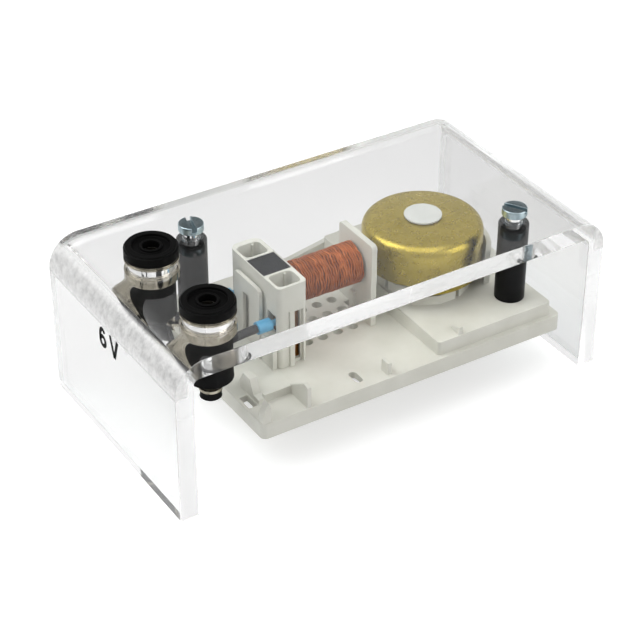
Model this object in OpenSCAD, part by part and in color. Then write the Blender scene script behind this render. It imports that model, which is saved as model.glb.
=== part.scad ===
// Electric bell for school experiments: a solenoid drives a striker against a small gong.
// The mechanism stands on a moulded base that hangs under a bent clear cover.
// +X runs along the cover, towards the gong. +Y is the back. The table is at z = 0.

/* [Cover] */
// Length of the bent cover
cover_l = 126; // [122:1:150]
// Depth of the cover, front to back
cover_w = 66; // [62:1:90]
// Height of the cover's top face above the table
cover_h = 45; // [43:1:55]
// Thickness of the clear sheet
sheet_t = 5; // [4:0.5:6]
// Inside radius of the two bends
bend_r = 1.5; // [1:0.5:4]
// Outside radius of the two bends
bend_outer_r = 8.5; // [6:0.5:12]

/* [Base] */
// Depth of the moulded base
base_w = 58; // [56:0.5:61]
// Gap between the base and the sockets, seen from above
socket_clear = 0.25; // [0.1:0.05:1]
// Gap between the base and the cover's right leg
end_gap = 4.05; // [3:0.05:6]
// Height of the base's rim
rim_h = 4.6; // [4:0.2:6]
// Wall thickness of the base's skirt
rim_t = 2; // [1.5:0.1:2.5]
// Thickness of the base's floor
floor_t = 2; // [1.5:0.1:2.5]
// Corner radius of the base, seen from above
base_r = 1.6; // [1:0.1:3]
// Length of the raised platform under the gong
platform_l = 35.8; // [35:0.1:38]
// Height of the platform above the floor
platform_h = 4; // [3:0.5:6]
// Set-back of the platform from the base's long edges
platform_inset = 1.4; // [1:0.1:2]
// Set-back of the platform from the base's right end
platform_end_in = 2.45; // [2:0.05:3]
// Thickness of the stiffening ribs
rib_t = 1.2; // [0.8:0.1:1.6]
// Diameter of the small holes in the floor
vent_d = 2.7; // [2:0.1:3.2]
// Spacing of the small holes along the base
vent_pitch_x = 4.6; // [4:0.1:4.8]
// Spacing of the small holes across the base
vent_pitch_y = 5; // [4:0.1:5.4]
// Distance of the first small holes from the contact housing
vent_in = 4; // [3:0.1:5]

/* [Hanging screws] */
// Length of the spacer tubes
spacer_l = 20; // [17:0.5:24]
// Outer diameter of the spacer tubes
spacer_d = 8; // [7:0.5:9]
// Thread diameter of the screws
screw_d = 4; // [3:0.5:4]
// Diameter of the screw heads
head_d = 6.6; // [6.2:0.1:8]
// Height of the screw heads
head_h = 2.1; // [1.8:0.1:3]
// Width of the screwdriver slot
slot_w = 1.2; // [0.8:0.1:1.6]
// Distance of the right screw from the base's right edge
right_screw_in = 9.85; // [8:0.05:10]
// Distance of the right screw from the base's front edge
right_screw_up = 9.8; // [8:0.1:10]
// Distance of the left screw from the base's left edge
left_screw_in = 7.45; // [6:0.05:8.5]
// Distance of the left screw from the base's back edge
left_screw_down = 11; // [8:0.1:14]
// Width across flats of the nuts
nut_af = 7; // [6.5:0.1:7.5]
// Height of the nuts
nut_h = 3.2; // [2.6:0.1:3.4]
// Diameter of the washers
washer_d = 9; // [8:0.5:10]
// Thickness of the washers
washer_t = 0.5; // [0.3:0.1:1]

/* [Contact housing] */
// Distance of the housing from the base's left edge
housing_in = 15.35; // [15:0.05:16]
// Length of the housing along the coil axis
housing_l = 8.7; // [8.6:0.1:10]
// Depth of the housing, front to back
housing_w = 24.2; // [23.8:0.1:25]
// Height of the housing above the floor
housing_h = 21.4; // [21.4:0.1:24]
// Thickness of the housing's front and left walls
housing_t = 0.8; // [0.6:0.05:1]
// Thickness of the housing's wall beside the coil
coil_wall_t = 1.2; // [1.1:0.1:1.4]
// Length of the pole block along the coil axis
block_l = 7.9; // [7:0.1:7.9]
// Width of the pole block
block_w = 8.4; // [7.5:0.1:8.6]
// Height of the pole block
block_h = 4; // [3:0.1:4.1]
// Width of the cover plate on the housing's left face
plate_w = 12.6; // [11:0.1:13]
// Height of the cover plate
plate_h = 18; // [16:0.5:20]
// Thickness of the cover plate
plate_t = 1.1; // [0.8:0.1:1.3]
// Diameter of the ferrules on the leads
ferrule_d = 3.4; // [3:0.1:3.6]
// Length of the ferrules
ferrule_l = 4; // [3:0.1:5]
// Diameter of the leads
lead_d = 2.3; // [2:0.1:2.4]
// Distance of each lead's ferrule from the coil axis
lead_y = 8.4; // [8.3:0.05:8.6]
// Height of the ferrules above the floor
ferrule_up = 9.8; // [9.4:0.1:10.4]

/* [Coil] */
// Height of the coil axis above the floor
axis_h = 13.4; // [13.4:0.1:13.5]
// Shift of the coil axis towards the back
coil_shift = 0.4; // [0:0.1:0.8]
// Diameter of the winding beside the housing
coil_d = 11.2; // [10:0.1:12]
// Diameter of the winding beside the end plate
coil_end_d = 11.6; // [10:0.1:13]
// Outer diameter of the tube that carries the winding
barrel_d = 7.2; // [6.8:0.1:7.3]
// Thickness of the coil's end plate
flange_t = 1.7; // [1.4:0.1:2.5]
// Width of the coil's end plate
flange_w = 15.6; // [15:0.1:18]
// Height of the coil's end plate above the floor
flange_h = 21.6; // [21.5:0.1:23]

/* [Striker] */
// Diameter of the plunger
plunger_d = 5; // [4.5:0.1:5.4]
// Distance of the plunger at rest from the contact housing
plunger_in = 1.7; // [1.5:0.1:2]
// Room for the return spring between plunger and end plate
spring_room = 6.2; // [5:0.1:7]
// Number of turns of the return spring
spring_turns = 5; // [4:1:7]
// Diameter of the striker and pusher pins
pin_d = 2; // [1.6:0.1:2.2]
// Travel of the plunger, from rest to the gong
stroke = 1.9; // [1.5:0.1:2.1]
// Gap that is left between striker and gong at full travel
strike_gap = 0.12; // [0.1:0.01:0.2]
// Wire thickness of the return spring
spring_wire = 0.4; // [0.3:0.05:0.5]
// Thickness of the contact spring
leaf_t = 0.3; // [0.2:0.05:0.4]
// Width of the contact spring
leaf_w = 5; // [4:0.1:5.2]

/* [Gong] */
// Outer radius of the gong
gong_r = 16.05; // [15.5:0.05:16.5]
// Height of the gong, rim to shoulder
gong_h = 11.1; // [10:0.1:12]
// Wall thickness of the gong
gong_t = 0.8; // [0.6:0.1:1]
// Outer radius of the gong's shoulder
shoulder_r = 3; // [2:0.1:4]
// Rise of the gong's top, shoulder to centre
dome_h = 0.9; // [0.2:0.1:1.2]
// Distance from the coil's end plate to the gong
gong_gap = 3.05; // [2.6:0.05:3.4]
// Distance from the gong to the base's right end
gong_end = 8.8; // [8:0.1:10]
// Height of the gong's rim above the platform
gong_lift = 4.7; // [4:0.1:5.4]
// Diameter of the post that carries the gong
post_d = 7; // [6:0.1:8]
// Diameter of the cap on the gong
cap_d = 10; // [8:0.5:12]
// Thickness of the cap on the gong
cap_t = 0.5; // [0.5:0.1:1.2]
// Outer radius of the seat ring under the gong
seat_r = 13.4; // [12.5:0.1:13.8]
// Height of the seat ring
seat_h = 2.6; // [2:0.1:3.4]
// Height of the guard wall beside the gong
guard_h = 8.6; // [8:0.1:11]
// Gap between the gong and the guard wall
guard_gap = 0.8; // [0.6:0.1:1.4]
// Thickness of the guard wall
guard_t = 1.4; // [1.2:0.1:2]
// Angle that the guard wall covers on each side of the long axis
guard_reach = 40; // [30:1:45]

/* [Sockets] */
// Distance of the socket axes from the cover's left end
socket_in = 18.4; // [18:0.1:19]
// Distance of the front socket from the cover's front edge
front_socket_in = 16.5; // [15:0.1:18]
// Distance of the rear socket from the cover's back edge
rear_socket_in = 21.2; // [19:0.1:23]
// Bore that takes a 4 mm plug
plug_d = 4; // [3.9:0.1:4.2]
// Depth of the plug bore
plug_depth = 20; // [18:1:20]
// Outer diameter of the contact sleeve
sleeve_d = 5.6; // [5.4:0.1:6]
// Diameter of the insulating cap
button_d = 13.8; // [13:0.1:14]
// Thickness of the insulating cap
button_t = 3; // [2.4:0.1:3.6]
// Diameter of the flange bushing
bushing_d = 13.9; // [13:0.1:14]
// Thickness of the bushing's flange
bushing_t = 0.9; // [0.6:0.1:1.4]
// Thread diameter of the bushing
thread_d = 12; // [11.8:0.1:12.5]
// Diameter of the round nut under the cover
ring_nut_d = 14; // [13.5:0.1:15]
// Height of the round nut
ring_nut_h = 3.1; // [2.6:0.1:4]
// Diameter of the insulating body
body_d = 11.6; // [11:0.1:12]
// Length of the insulating body below the round nut
body_l = 10.9; // [10:0.1:11.2]
// Diameter of the stud that carries the solder tag
tag_stud_d = 3.8; // [3:0.1:4.4]
// Length of that stud
tag_stud_l = 3.6; // [3:0.1:3.8]
// Diameter of the lower cap
tail_d = 5.4; // [5:0.1:7]
// Length of the lower cap
tail_l = 2.4; // [2:0.1:2.6]

/* [Fits] */
// Radial gap of a screw in its hole
hole_gap = 0.15; // [0.1:0.05:0.3]
// Radial gap of a part that slides in a bore
run_gap = 0.08; // [0.05:0.01:0.1]
// Gap round a part that is pushed into a pocket
seat_gap = 0.05; // [0.03:0.01:0.06]

/* [Hidden] */
$fn = 48;
eps = 0.01;
bone = "#e9e8e1";
nickel = "#c9c7c0";
black = "#1b1b1d";
brass = "#b29a4c";

// Levels, from the cover down
sheet_z = cover_h - sheet_t;
platform_z = sheet_z - spacer_l;
floor_z = platform_z - platform_h;
base_z = floor_z - rim_h;
under_z = floor_z - floor_t;
axis_z = floor_z + axis_h;
housing_z = floor_z + housing_h;

// Stations along the base
base_x0 = socket_in + ring_nut_d / 2 + socket_clear - cover_l / 2;
base_x1 = cover_l / 2 - sheet_t - end_gap;
base_l = base_x1 - base_x0;
housing_x0 = base_x0 + housing_in;
housing_x1 = housing_x0 + housing_l;
gong_x = base_x1 - gong_end - gong_r;
flange_x1 = gong_x - gong_r - gong_gap;
flange_x0 = flange_x1 - flange_t;
coil_l = flange_x0 - housing_x1;
platform_x1 = base_x1 - platform_end_in;
platform_x0 = platform_x1 - platform_l;
platform_w = base_w - 2 * platform_inset;
front_y = -base_w / 2;

// Screws that carry the base
right_screw = [base_x1 - right_screw_in, front_y + right_screw_up];
left_screw = [base_x0 + left_screw_in, base_w / 2 - left_screw_down];
boss_d = spacer_d + 2;
nut_z = under_z - washer_t - nut_h;
tip_z = nut_z - 0.3;
slot_depth = 0.6 * head_h;

// Contact housing: the pole block's seat in the middle, an open pocket at each end
web_t = 0.8;
housing_x = housing_x0 + housing_l / 2;
block_z = housing_z - block_h;
housing_front = housing_w / 2 - 0.5;
housing_back = housing_w / 2 + 0.5;
pocket_x0 = housing_x0 + housing_t;
pocket_x1 = housing_x1 - coil_wall_t;
pocket_y0 = block_w / 2 + web_t;
pocket_y1 = housing_front - housing_t;
pocket_y = (pocket_y0 + pocket_y1) / 2;
pocket_z = floor_z + 0.8;
peg_d = 2.4;
plate_off = 0.6;
plate_x = housing_x0 - plate_off - plate_t;
plate_y = 1.2;

// Contact chamber under the pole block
chamber_x0 = housing_x0 + 1.4;
chamber_w = leaf_w + 1.6;
leaf_x = chamber_x0 + 2.6;
rivet_d = 2.4;
rivet_hole_d = rivet_d / 2;
rivet_h = 0.7;
contact_gap = 0.12;
pusher_gap = 0.15;
leaf_foot_z = floor_z - 0.6 * floor_t;
leaf_top_z = axis_z + 1.9;
strip_t = 0.6;

// Ferrules on the leads; the rear one stops short of the cover plate
ferrule_z = floor_z + ferrule_up;
ferrule_pin_d = 1.6;
ferrule_pin_x1 = pocket_x0 + 3;
front_ferrule_x = housing_x0 - ferrule_l - 0.4;
rear_ferrule_x = plate_x - ferrule_l - 0.3;
window_w = ferrule_d + 0.5;
window_h = 5;
clip_t = 0.4;
clip_gap = ferrule_pin_d / 2 + seat_gap;

// Plunger in the coil
bore_d = plunger_d + 2 * run_gap;
pin_bore_d = pin_d + 2 * run_gap;
plunger_x0 = housing_x1 + plunger_in;
plunger_x1 = flange_x0 - spring_room;
pin_grip = 0.23 * (plunger_x1 - plunger_x0);
pin_nose = pin_d / 2;
striker_tip_x = gong_x - gong_r - stroke - strike_gap;
pusher_tip_x = leaf_x + leaf_t / 2 + pusher_gap;

// Gong and what carries it
gong_rim_z = platform_z + gong_lift;
gong_shoulder_z = gong_rim_z + gong_h;
gong_top_z = gong_shoulder_z + dome_h;
stud_d = 3;
stud_rise = 0.6 * cap_t;

// Sockets
socket_x = socket_in - cover_l / 2;
front_socket = [socket_x, front_socket_in - cover_w / 2];
rear_socket = [socket_x, cover_w / 2 - rear_socket_in];
button_z = cover_h + bushing_t;
button_rim = 2;
button_sink = 0.8;
ring_nut_z = sheet_z - ring_nut_h;
body_z = ring_nut_z - body_l;
tag_stud_z = body_z - tag_stud_l;
tail_z = tag_stud_z - tail_l;
sleeve_mouth_z = button_z + 0.8;
neck_d = 9;
tag_w = 3;
tag_t = 0.8;
tag_z = tag_stud_z + 0.3;
tag_reach = 6.6;
front_tag_turn = 80;
rear_tag_turn = -35;

// Leads, from the solder tag to the ferrule.
// Each point of a way: share of the distance, and how far the lead bows to the side.
lead_reach = tag_reach - 1.4;
lead_z = tag_z + tag_t + lead_d / 2 + 0.05;
front_start = concat(front_socket + lead_reach * [cos(front_tag_turn), sin(front_tag_turn)], lead_z);
rear_start = concat(rear_socket + lead_reach * [cos(rear_tag_turn), sin(rear_tag_turn)], lead_z);
front_end = [front_ferrule_x, coil_shift - lead_y, ferrule_z];
rear_end = [rear_ferrule_x, coil_shift + lead_y, ferrule_z];
front_way = [
    [0, 0], [0.05, 0.9], [0.15, 1.45], [0.28, 1.65], [0.44, 1.5],
    [0.61, 1.15], [0.77, 0.7], [0.9, 0.3], [1, 0]
];
rear_way = [
    [0, 0], [0.1, -0.5], [0.22, -0.75], [0.36, -0.75], [0.5, -0.6],
    [0.64, -0.4], [0.78, -0.2], [0.9, -0.05], [1, 0]
];

// Rectangle with round corners, centred on the origin
module round_rect(l, w, r) {
    square([l, w - 2 * r], center = true);
    square([l - 2 * r, w], center = true);
    for (sx = [-1, 1], sy = [-1, 1])
        translate([sx * (l / 2 - r), sy * (w / 2 - r)]) circle(r);
}

// Block from z0 to z1 over the rectangle x0..x1, y0..y1
module slab(x0, x1, y0, y1, z0, z1) {
    translate([x0, y0, z0]) cube([x1 - x0, y1 - y0, z1 - z0]);
}

// Plate of thickness t along X, drawn in YZ
module plate_yz(x, t) {
    translate([x, 0, 0]) rotate([90, 0, 90]) linear_extrude(t) children();
}

// Plate of thickness t along Y, drawn in XZ
module plate_xz(y, t) {
    translate([0, y + t, 0]) rotate([90, 0, 0]) linear_extrude(t) children();
}

// Round bar along X from x0 to x1 at the coil's height
module axis_bar(x0, x1, d) {
    translate([x0, 0, axis_z]) rotate([0, 90, 0]) cylinder(h = x1 - x0, d = d);
}

// Arch with two round upper corners, standing on y = y0
module arch(l, h, r, y0 = 0) {
    translate([-l / 2, y0]) square([l, h - r - y0]);
    translate([r - l / 2, y0]) square([l - 2 * r, h - y0]);
    for (s = [-1, 1])
        translate([s * (l / 2 - r), h - r]) circle(r);
}

// Sets the children on the coil axis, which lies off the middle of the base
module at_coil() {
    translate([0, coil_shift, 0]) children();
}

// Places the children on both screw axes
module at_screws() {
    for (p = [right_screw, left_screw])
        translate([p[0], p[1], 0]) children();
}

module acrylic_cover() {
    color("white", 0.3)
    difference() {
        plate_xz(-cover_w / 2, cover_w)
            difference() {
                arch(cover_l, cover_h, bend_outer_r);
                arch(cover_l - 2 * sheet_t, sheet_z, bend_r, -1);
            }
        at_screws()
            translate([0, 0, sheet_z - 1]) cylinder(h = sheet_t + 2, d = screw_d + 2 * hole_gap);
        for (p = [front_socket, rear_socket])
            translate([p[0], p[1], sheet_z - 1]) cylinder(h = sheet_t + 2, d = thread_d + 2 * hole_gap);
    }
}

// Skirt and floor of the base, open underneath
module base_tray() {
    difference() {
        translate([(base_x0 + base_x1) / 2, 0, base_z])
            linear_extrude(rim_h) round_rect(base_l, base_w, base_r);
        slab(base_x0 + rim_t, base_x1 - rim_t, front_y + rim_t, -front_y - rim_t, base_z - 1, under_z);
        platform_hollow();
    }
}

module platform() {
    difference() {
        translate([(platform_x0 + platform_x1) / 2, 0, under_z])
            linear_extrude(platform_z - under_z) round_rect(platform_l, platform_w, 1);
        platform_hollow();
    }
}

module platform_hollow() {
    slab(platform_x0 + rim_t, platform_x1 - rim_t, rim_t - platform_w / 2, platform_w / 2 - rim_t,
        base_z - 1, platform_z - floor_t);
}

// Ribs below the floor and under the platform
module under_ribs() {
    rib_z = base_z + 0.8;
    for (y = [-0.21 * base_w, 0.18 * base_w])
        slab(base_x0 + 1, platform_x0 + 1, y - rib_t / 2, y + rib_t / 2, rib_z, floor_z - 1);
    for (x = [housing_x0 - 1.5, housing_x1 + 2])
        slab(x - rib_t / 2, x + rib_t / 2, front_y + 1, -front_y - 1, rib_z, floor_z - 1);
    slab(gong_x - rib_t / 2, gong_x + rib_t / 2, 1 - platform_w / 2, platform_w / 2 - 1,
        under_z, platform_z - 1);
    slab(platform_x0 + 1, platform_x1 - 1, -rib_t / 2, rib_t / 2, under_z, platform_z - 1);
}

// Seat ring under the gong: a low many-sided ring with four gaps
module seat_ring() {
    sides = 14;
    wall = 1.6;
    gap = 1.2;
    first_corner = -104;
    first_gap = -78.3;
    step = 360 / sides;
    function ring_points(r) =
        [for (i = [0:sides - 1]) r * [cos(step * i + first_corner), sin(step * i + first_corner)]];
    translate([gong_x, 0, platform_z - eps])
        difference() {
            linear_extrude(seat_h + eps)
                difference() {
                    polygon(ring_points(seat_r));
                    polygon(ring_points(seat_r - wall));
                }
            for (i = [0:3])
                rotate([0, 0, first_gap + 90 * i])
                    translate([seat_r - 2 * wall, -gap / 2, -1]) cube([3 * wall, gap, seat_h + 2]);
        }
}

// Upright wall that curves round the far side of the gong
module guard_wall() {
    inner = gong_r + guard_gap;
    outer = inner + guard_t;
    chord = 2 * outer * sin(guard_reach);
    translate([gong_x, 0, platform_z - eps])
        intersection() {
            difference() {
                cylinder(h = guard_h + eps, r = outer);
                translate([0, 0, -1]) cylinder(h = guard_h + 3, r = inner);
            }
            plate_yz(0, outer + 1) arch(chord, guard_h, 2);
        }
}

// Low ribs, posts and gussets round the left end of the floor
module floor_details() {
    front = front_y + 0.3;
    left = base_x0 + 0.3;
    foot_z = floor_z - 1;
    wedge_x = left + 3.3;
    gusset_x = housing_x0 - 2.4;
    rise_l = 21;
    // corner post with a sloping top
    plate_xz(front, 2.2)
        polygon([[left, foot_z], [left + 2.4, foot_z], [left + 2.4, floor_z + 4],
            [left + 1.6, floor_z + 6], [left, floor_z + 2.6]]);
    // slanted wedge
    plate_yz(wedge_x, 2.2)
        polygon([[front + 10.3, foot_z], [front + 17.1, foot_z], [front + 17.1, floor_z + 1.6],
            [front + 15.3, floor_z + 5], [front + 12.1, floor_z + 5], [front + 10.3, floor_z + 1.2]]);
    // gusset beside the contact housing, highest at the front edge
    plate_yz(gusset_x, rib_t)
        polygon([[front, foot_z], [front + 8.3, foot_z], [front + 8.3, floor_z + 2.2],
            [front + 4.7, floor_z + 4.5], [front + 1.8, floor_z + 6.4], [front, floor_z + 6]]);
    // low pad that joins them
    slab(wedge_x, gusset_x + rib_t, front + 7.7, front + 15.7, foot_z, floor_z + 1.2);
    slab(wedge_x + 1.7, gusset_x + rib_t, front + 7.7, front + 7.7 + rib_t, foot_z, floor_z + 2.2);
    // plinth against the housing's left face, in front of the cover plate
    at_coil()
        slab(housing_x0 - 1.4, housing_x0 - seat_gap, 0.6 - housing_front, plate_y - plate_w / 2 - 0.2,
            foot_z, floor_z + 5.5);
    // upright tab at the front
    tab_x = housing_x1 + 0.62 * coil_l;
    slab(tab_x, tab_x + rib_t, front + 1, front + 4, foot_z, floor_z + 3.5);
    // fin on the platform
    plate_yz(platform_x0 + 6.5, rib_t)
        polygon([[front + 1.4, platform_z - 1], [front + 6, platform_z - 1], [front + 6, platform_z],
            [front + 1.4, platform_z + 2.2]]);
    // rib along the back edge, rising to the platform
    plate_xz(-front_y - 1.6, 1.5)
        polygon([[platform_x0 + 10 - rise_l, foot_z], [platform_x0 + 10, foot_z],
            [platform_x0 + 10, platform_z], [platform_x0 + 10 - rise_l, floor_z]]);
    // pads for the two screws and for the gong's post
    at_screws()
        translate([0, 0, under_z]) cylinder(h = platform_z - under_z, d = boss_d);
    translate([gong_x, 0, under_z]) cylinder(h = platform_z - under_z, d = post_d + 2);
}

// Round holes between the housing and the coil's end plate
module vents() {
    columns = floor((coil_l - vent_in - vent_d) / vent_pitch_x) + 1;
    for (i = [0:columns - 1], j = [-1:1])
        translate([housing_x1 + vent_in + i * vent_pitch_x, j * vent_pitch_y, base_z - 1])
            cylinder(h = rim_h + 2, d = vent_d);
}

// Slot with round ends near the front edge
module front_slot() {
    slot_d = 2.1;
    x = housing_x1 + 6.15;
    y0 = front_y + 3.7;
    y1 = front_y + 6.3;
    for (y = [y0, y1])
        translate([x, y, base_z - 1]) cylinder(h = rim_h + 2, d = slot_d);
    slab(x - slot_d / 2, x + slot_d / 2, y0, y1, base_z - 1, floor_z + 1);
}

module floor_holes() {
    front_slot();
    // opening at the left edge
    slab(base_x0 + 0.9, base_x0 + 3.2, front_y + 8, front_y + 13, base_z - 1, floor_z + 1);
    at_coil() {
        vents();
        // window for the coil's foot
        slab(flange_x0 - 1.6, flange_x0 + 0.1, -2.6, 2.6, base_z - 1, floor_z + 1);
        // grooves that hold the feet of the contact spring and the fixed contact
        slab(leaf_x - leaf_t / 2 - seat_gap, leaf_x + leaf_t / 2 + seat_gap,
            -leaf_w / 2 - seat_gap, leaf_w / 2 + seat_gap, leaf_foot_z, floor_z + 1);
        slab(chamber_x0, chamber_x0 + strip_t + 2 * seat_gap,
            -leaf_w / 2 - seat_gap, leaf_w / 2 + seat_gap, leaf_foot_z, floor_z + 1);
        // holes for the locating pegs of the housing
        for (s = [-1, 1])
            translate([housing_x, s * pocket_y, base_z - 1])
                cylinder(h = rim_h + 2, d = peg_d + 2 * seat_gap);
    }
}

module base_frame() {
    color(bone)
    difference() {
        union() {
            base_tray();
            platform();
            under_ribs();
            seat_ring();
            guard_wall();
            floor_details();
        }
        floor_holes();
        at_screws()
            translate([0, 0, base_z - 1]) cylinder(h = rim_h + platform_h + 2, d = screw_d + 2 * hole_gap);
        translate([gong_x, 0, under_z - 1]) cylinder(h = platform_z - under_z + 2, d = stud_d + 2 * seat_gap);
    }
}

// Outline of the contact housing: larger corner radius at the back
module housing_outline() {
    back_r = 2.5;
    front_r = 1.5;
    translate([back_r - housing_l / 2, 0]) square([housing_l - 2 * back_r, housing_back]);
    translate([-housing_l / 2, 0]) square([housing_l, housing_back - back_r]);
    translate([-housing_l / 2, front_r - housing_front]) square([housing_l, housing_front - front_r + eps]);
    translate([front_r - housing_l / 2, -housing_front]) square([housing_l - 2 * front_r, housing_front]);
    for (s = [-1, 1]) {
        translate([s * (housing_l / 2 - back_r), housing_back - back_r]) circle(back_r);
        translate([s * (housing_l / 2 - front_r), front_r - housing_front]) circle(front_r);
    }
}

// Body of the housing with its two open pockets, ribs and locating pegs
module housing_shell() {
    rib = 0.5;
    slot_h = 0.63 * housing_h;
    pocket_l = pocket_x1 - pocket_x0;
    pocket_w = pocket_y1 - pocket_y0;
    front = -housing_front;
    difference() {
        translate([housing_x, 0, floor_z]) linear_extrude(housing_h) housing_outline();
        for (s = [-1, 1])
            translate([(pocket_x0 + pocket_x1) / 2, s * pocket_y, pocket_z])
                linear_extrude(housing_h) round_rect(pocket_l, pocket_w, 1.4);
        // upright slot in the front wall
        slab(housing_x1 - 3.8, housing_x1 - 1.3, front - 1, front + housing_t + 0.2,
            floor_z - 1, floor_z + slot_h);
    }
    // small rib at the back of each pocket
    for (y = [-pocket_y0, pocket_y1])
        slab(housing_x1 - 2.9 - rib / 2, housing_x1 - 2.9 + rib / 2, y - rib, y + 0.1,
            pocket_z - 0.1, housing_z - rib);
    // raised strip beside the slot
    slab(housing_x0 + 3.2, housing_x0 + 4.6, front - rib, front + 0.1, floor_z, floor_z + slot_h + rib);
    for (s = [-1, 1])
        translate([housing_x, s * pocket_y, under_z + 0.2]) cylinder(h = floor_t, d = peg_d);
}

module contact_housing() {
    color(bone)
    difference() {
        housing_shell();
        // seat of the pole block
        slab(housing_x - block_l / 2 - seat_gap, housing_x + block_l / 2 + seat_gap,
            -block_w / 2 - seat_gap, block_w / 2 + seat_gap, block_z, housing_z + 1);
        // contact chamber below it
        slab(chamber_x0, pocket_x1, -chamber_w / 2, chamber_w / 2, floor_z - 1, block_z + eps);
        // way for the pusher pin, and seat of the coil's tube
        axis_bar(pocket_x1 - 1, housing_x1 + 1, pin_bore_d + 0.3);
        axis_bar(housing_x1 - 1, housing_x1 + 1, barrel_d + 2 * seat_gap);
        // windows for the two ferrules
        for (s = [-1, 1])
            slab(housing_x0 - 1, pocket_x0 + 0.2, s * lead_y - window_w / 2, s * lead_y + window_w / 2,
                ferrule_z - ferrule_d / 2 - 0.3, ferrule_z - ferrule_d / 2 - 0.3 + window_h);
    }
}

// Plate with a window, clipped to the left face of the housing
module contact_cover() {
    leg_y = 0.38 * plate_w;
    window_y = 0.12 * plate_w;
    color(bone)
    translate([0, plate_y, 0])
        difference() {
            union() {
                plate_yz(plate_x, plate_t) translate([0, floor_z]) arch(plate_w, plate_h, 1.6);
                for (s = [-1, 1])
                    slab(plate_x + plate_t - eps, housing_x0, s * leg_y - 0.5, s * leg_y + 0.5,
                        floor_z, floor_z + 0.9 * plate_h);
            }
            slab(plate_x - 1, plate_x + plate_t + 0.05, 0.3 - window_y, 0.3 + window_y,
                floor_z + 0.08 * plate_h, floor_z + 0.75 * plate_h);
        }
}

module pole_block() {
    color("#3a3b42")
    slab(housing_x - block_l / 2, housing_x + block_l / 2, -block_w / 2, block_w / 2,
        block_z, housing_z - 0.1);
}

module coil_bobbin() {
    color(bone)
    difference() {
        union() {
            axis_bar(housing_x1 - 1, flange_x0 + eps, barrel_d);
            plate_yz(flange_x0, flange_t) translate([0, floor_z]) arch(flange_w, flange_h, 1.2);
            // foot that snaps through the floor
            slab(flange_x0 - 1, flange_x0 + eps, -0.9, 0.9, under_z, floor_z + 4.5);
        }
        axis_bar(housing_x1 - 2, flange_x0, bore_d);
        axis_bar(flange_x0 - 1, flange_x1 + 1, pin_bore_d);
    }
}

// Winding with a slight taper, thicker towards the end plate
module coil_winding() {
    x0 = housing_x1 + seat_gap;
    x1 = flange_x0 - seat_gap;
    color("#b8704f")
    translate([x0, 0, axis_z]) rotate([0, 90, 0])
        difference() {
            cylinder(h = x1 - x0, d1 = coil_d, d2 = coil_end_d);
            translate([0, 0, -1]) cylinder(h = coil_l + 2, d = barrel_d + 2 * seat_gap);
        }
}

module plunger_core() {
    color("#8d8f92")
    difference() {
        axis_bar(plunger_x0, plunger_x1, plunger_d);
        axis_bar(plunger_x0 - 1, plunger_x0 + pin_grip, pin_d);
        axis_bar(plunger_x1 - pin_grip, plunger_x1 + 1, pin_d);
    }
}

module striker_pin() {
    color(brass) {
        axis_bar(plunger_x1 - pin_grip, striker_tip_x - pin_nose, pin_d);
        translate([striker_tip_x - pin_nose, 0, axis_z]) sphere(pin_nose);
    }
}

module pusher_pin() {
    color(bone) {
        axis_bar(pusher_tip_x + pin_nose, plunger_x0 + pin_grip, pin_d);
        translate([pusher_tip_x + pin_nose, 0, axis_z]) sphere(pin_nose);
    }
}

// Return spring round the striker pin, as rings one beside the other
module return_spring() {
    mean_r = (pin_d + plunger_d) / 4;
    pitch = (spring_room - spring_wire) / (spring_turns - 1);
    color(nickel)
    difference() {
        axis_bar(plunger_x1, flange_x0, 2 * mean_r + spring_wire);
        axis_bar(plunger_x1 - 1, flange_x0 + 1, 2 * mean_r - spring_wire);
        for (i = [0:spring_turns - 2])
            translate([plunger_x1 + spring_wire + i * pitch, 0, axis_z])
                rotate([0, 90, 0])
                    difference() {
                        cylinder(h = pitch - spring_wire, r = mean_r + spring_wire);
                        translate([0, 0, -1]) cylinder(h = pitch + 1, r = mean_r);
                    }
    }
}

module contact_spring() {
    color("#b88a4a")
    difference() {
        slab(leaf_x - leaf_t / 2, leaf_x + leaf_t / 2, -leaf_w / 2, leaf_w / 2, leaf_foot_z, leaf_top_z);
        axis_bar(leaf_x - 1, leaf_x + 1, rivet_hole_d);
    }
}

module contact_rivet() {
    color(nickel) {
        axis_bar(leaf_x - leaf_t / 2 - rivet_h, leaf_x - leaf_t / 2, rivet_d);
        axis_bar(leaf_x - leaf_t / 2 - eps, leaf_x + leaf_t / 2, rivet_hole_d);
    }
}

// Fixed contact: an upright strip against the chamber's left wall, with a contact button
module fixed_contact() {
    face_x = leaf_x - leaf_t / 2 - rivet_h - contact_gap;
    strip_x = chamber_x0 + seat_gap;
    color("#b88a4a") {
        slab(strip_x, strip_x + strip_t, -leaf_w / 2, leaf_w / 2, leaf_foot_z, leaf_top_z);
        axis_bar(strip_x + strip_t - eps, face_x, rivet_d);
    }
}

// Bent clips in the two pockets, each gripping the pin of a ferrule between two upright leaves
module terminal_clips() {
    clip_x0 = pocket_x0 + 0.5;
    clip_x1 = pocket_x1 - 0.4;
    z0 = pocket_z + seat_gap;
    z1 = floor_z + 0.58 * housing_h;
    color("#a5703a")
    for (s = [-1, 1])
        translate([0, s * lead_y, 0]) {
            slab(clip_x0, clip_x1, -clip_gap - clip_t, clip_gap + clip_t, z0, z0 + clip_t);
            slab(clip_x0, clip_x1, clip_gap, clip_gap + clip_t, z0, z1);
            slab(clip_x0, clip_x1, -clip_gap - clip_t, -clip_gap, z0, z1);
        }
}

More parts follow.
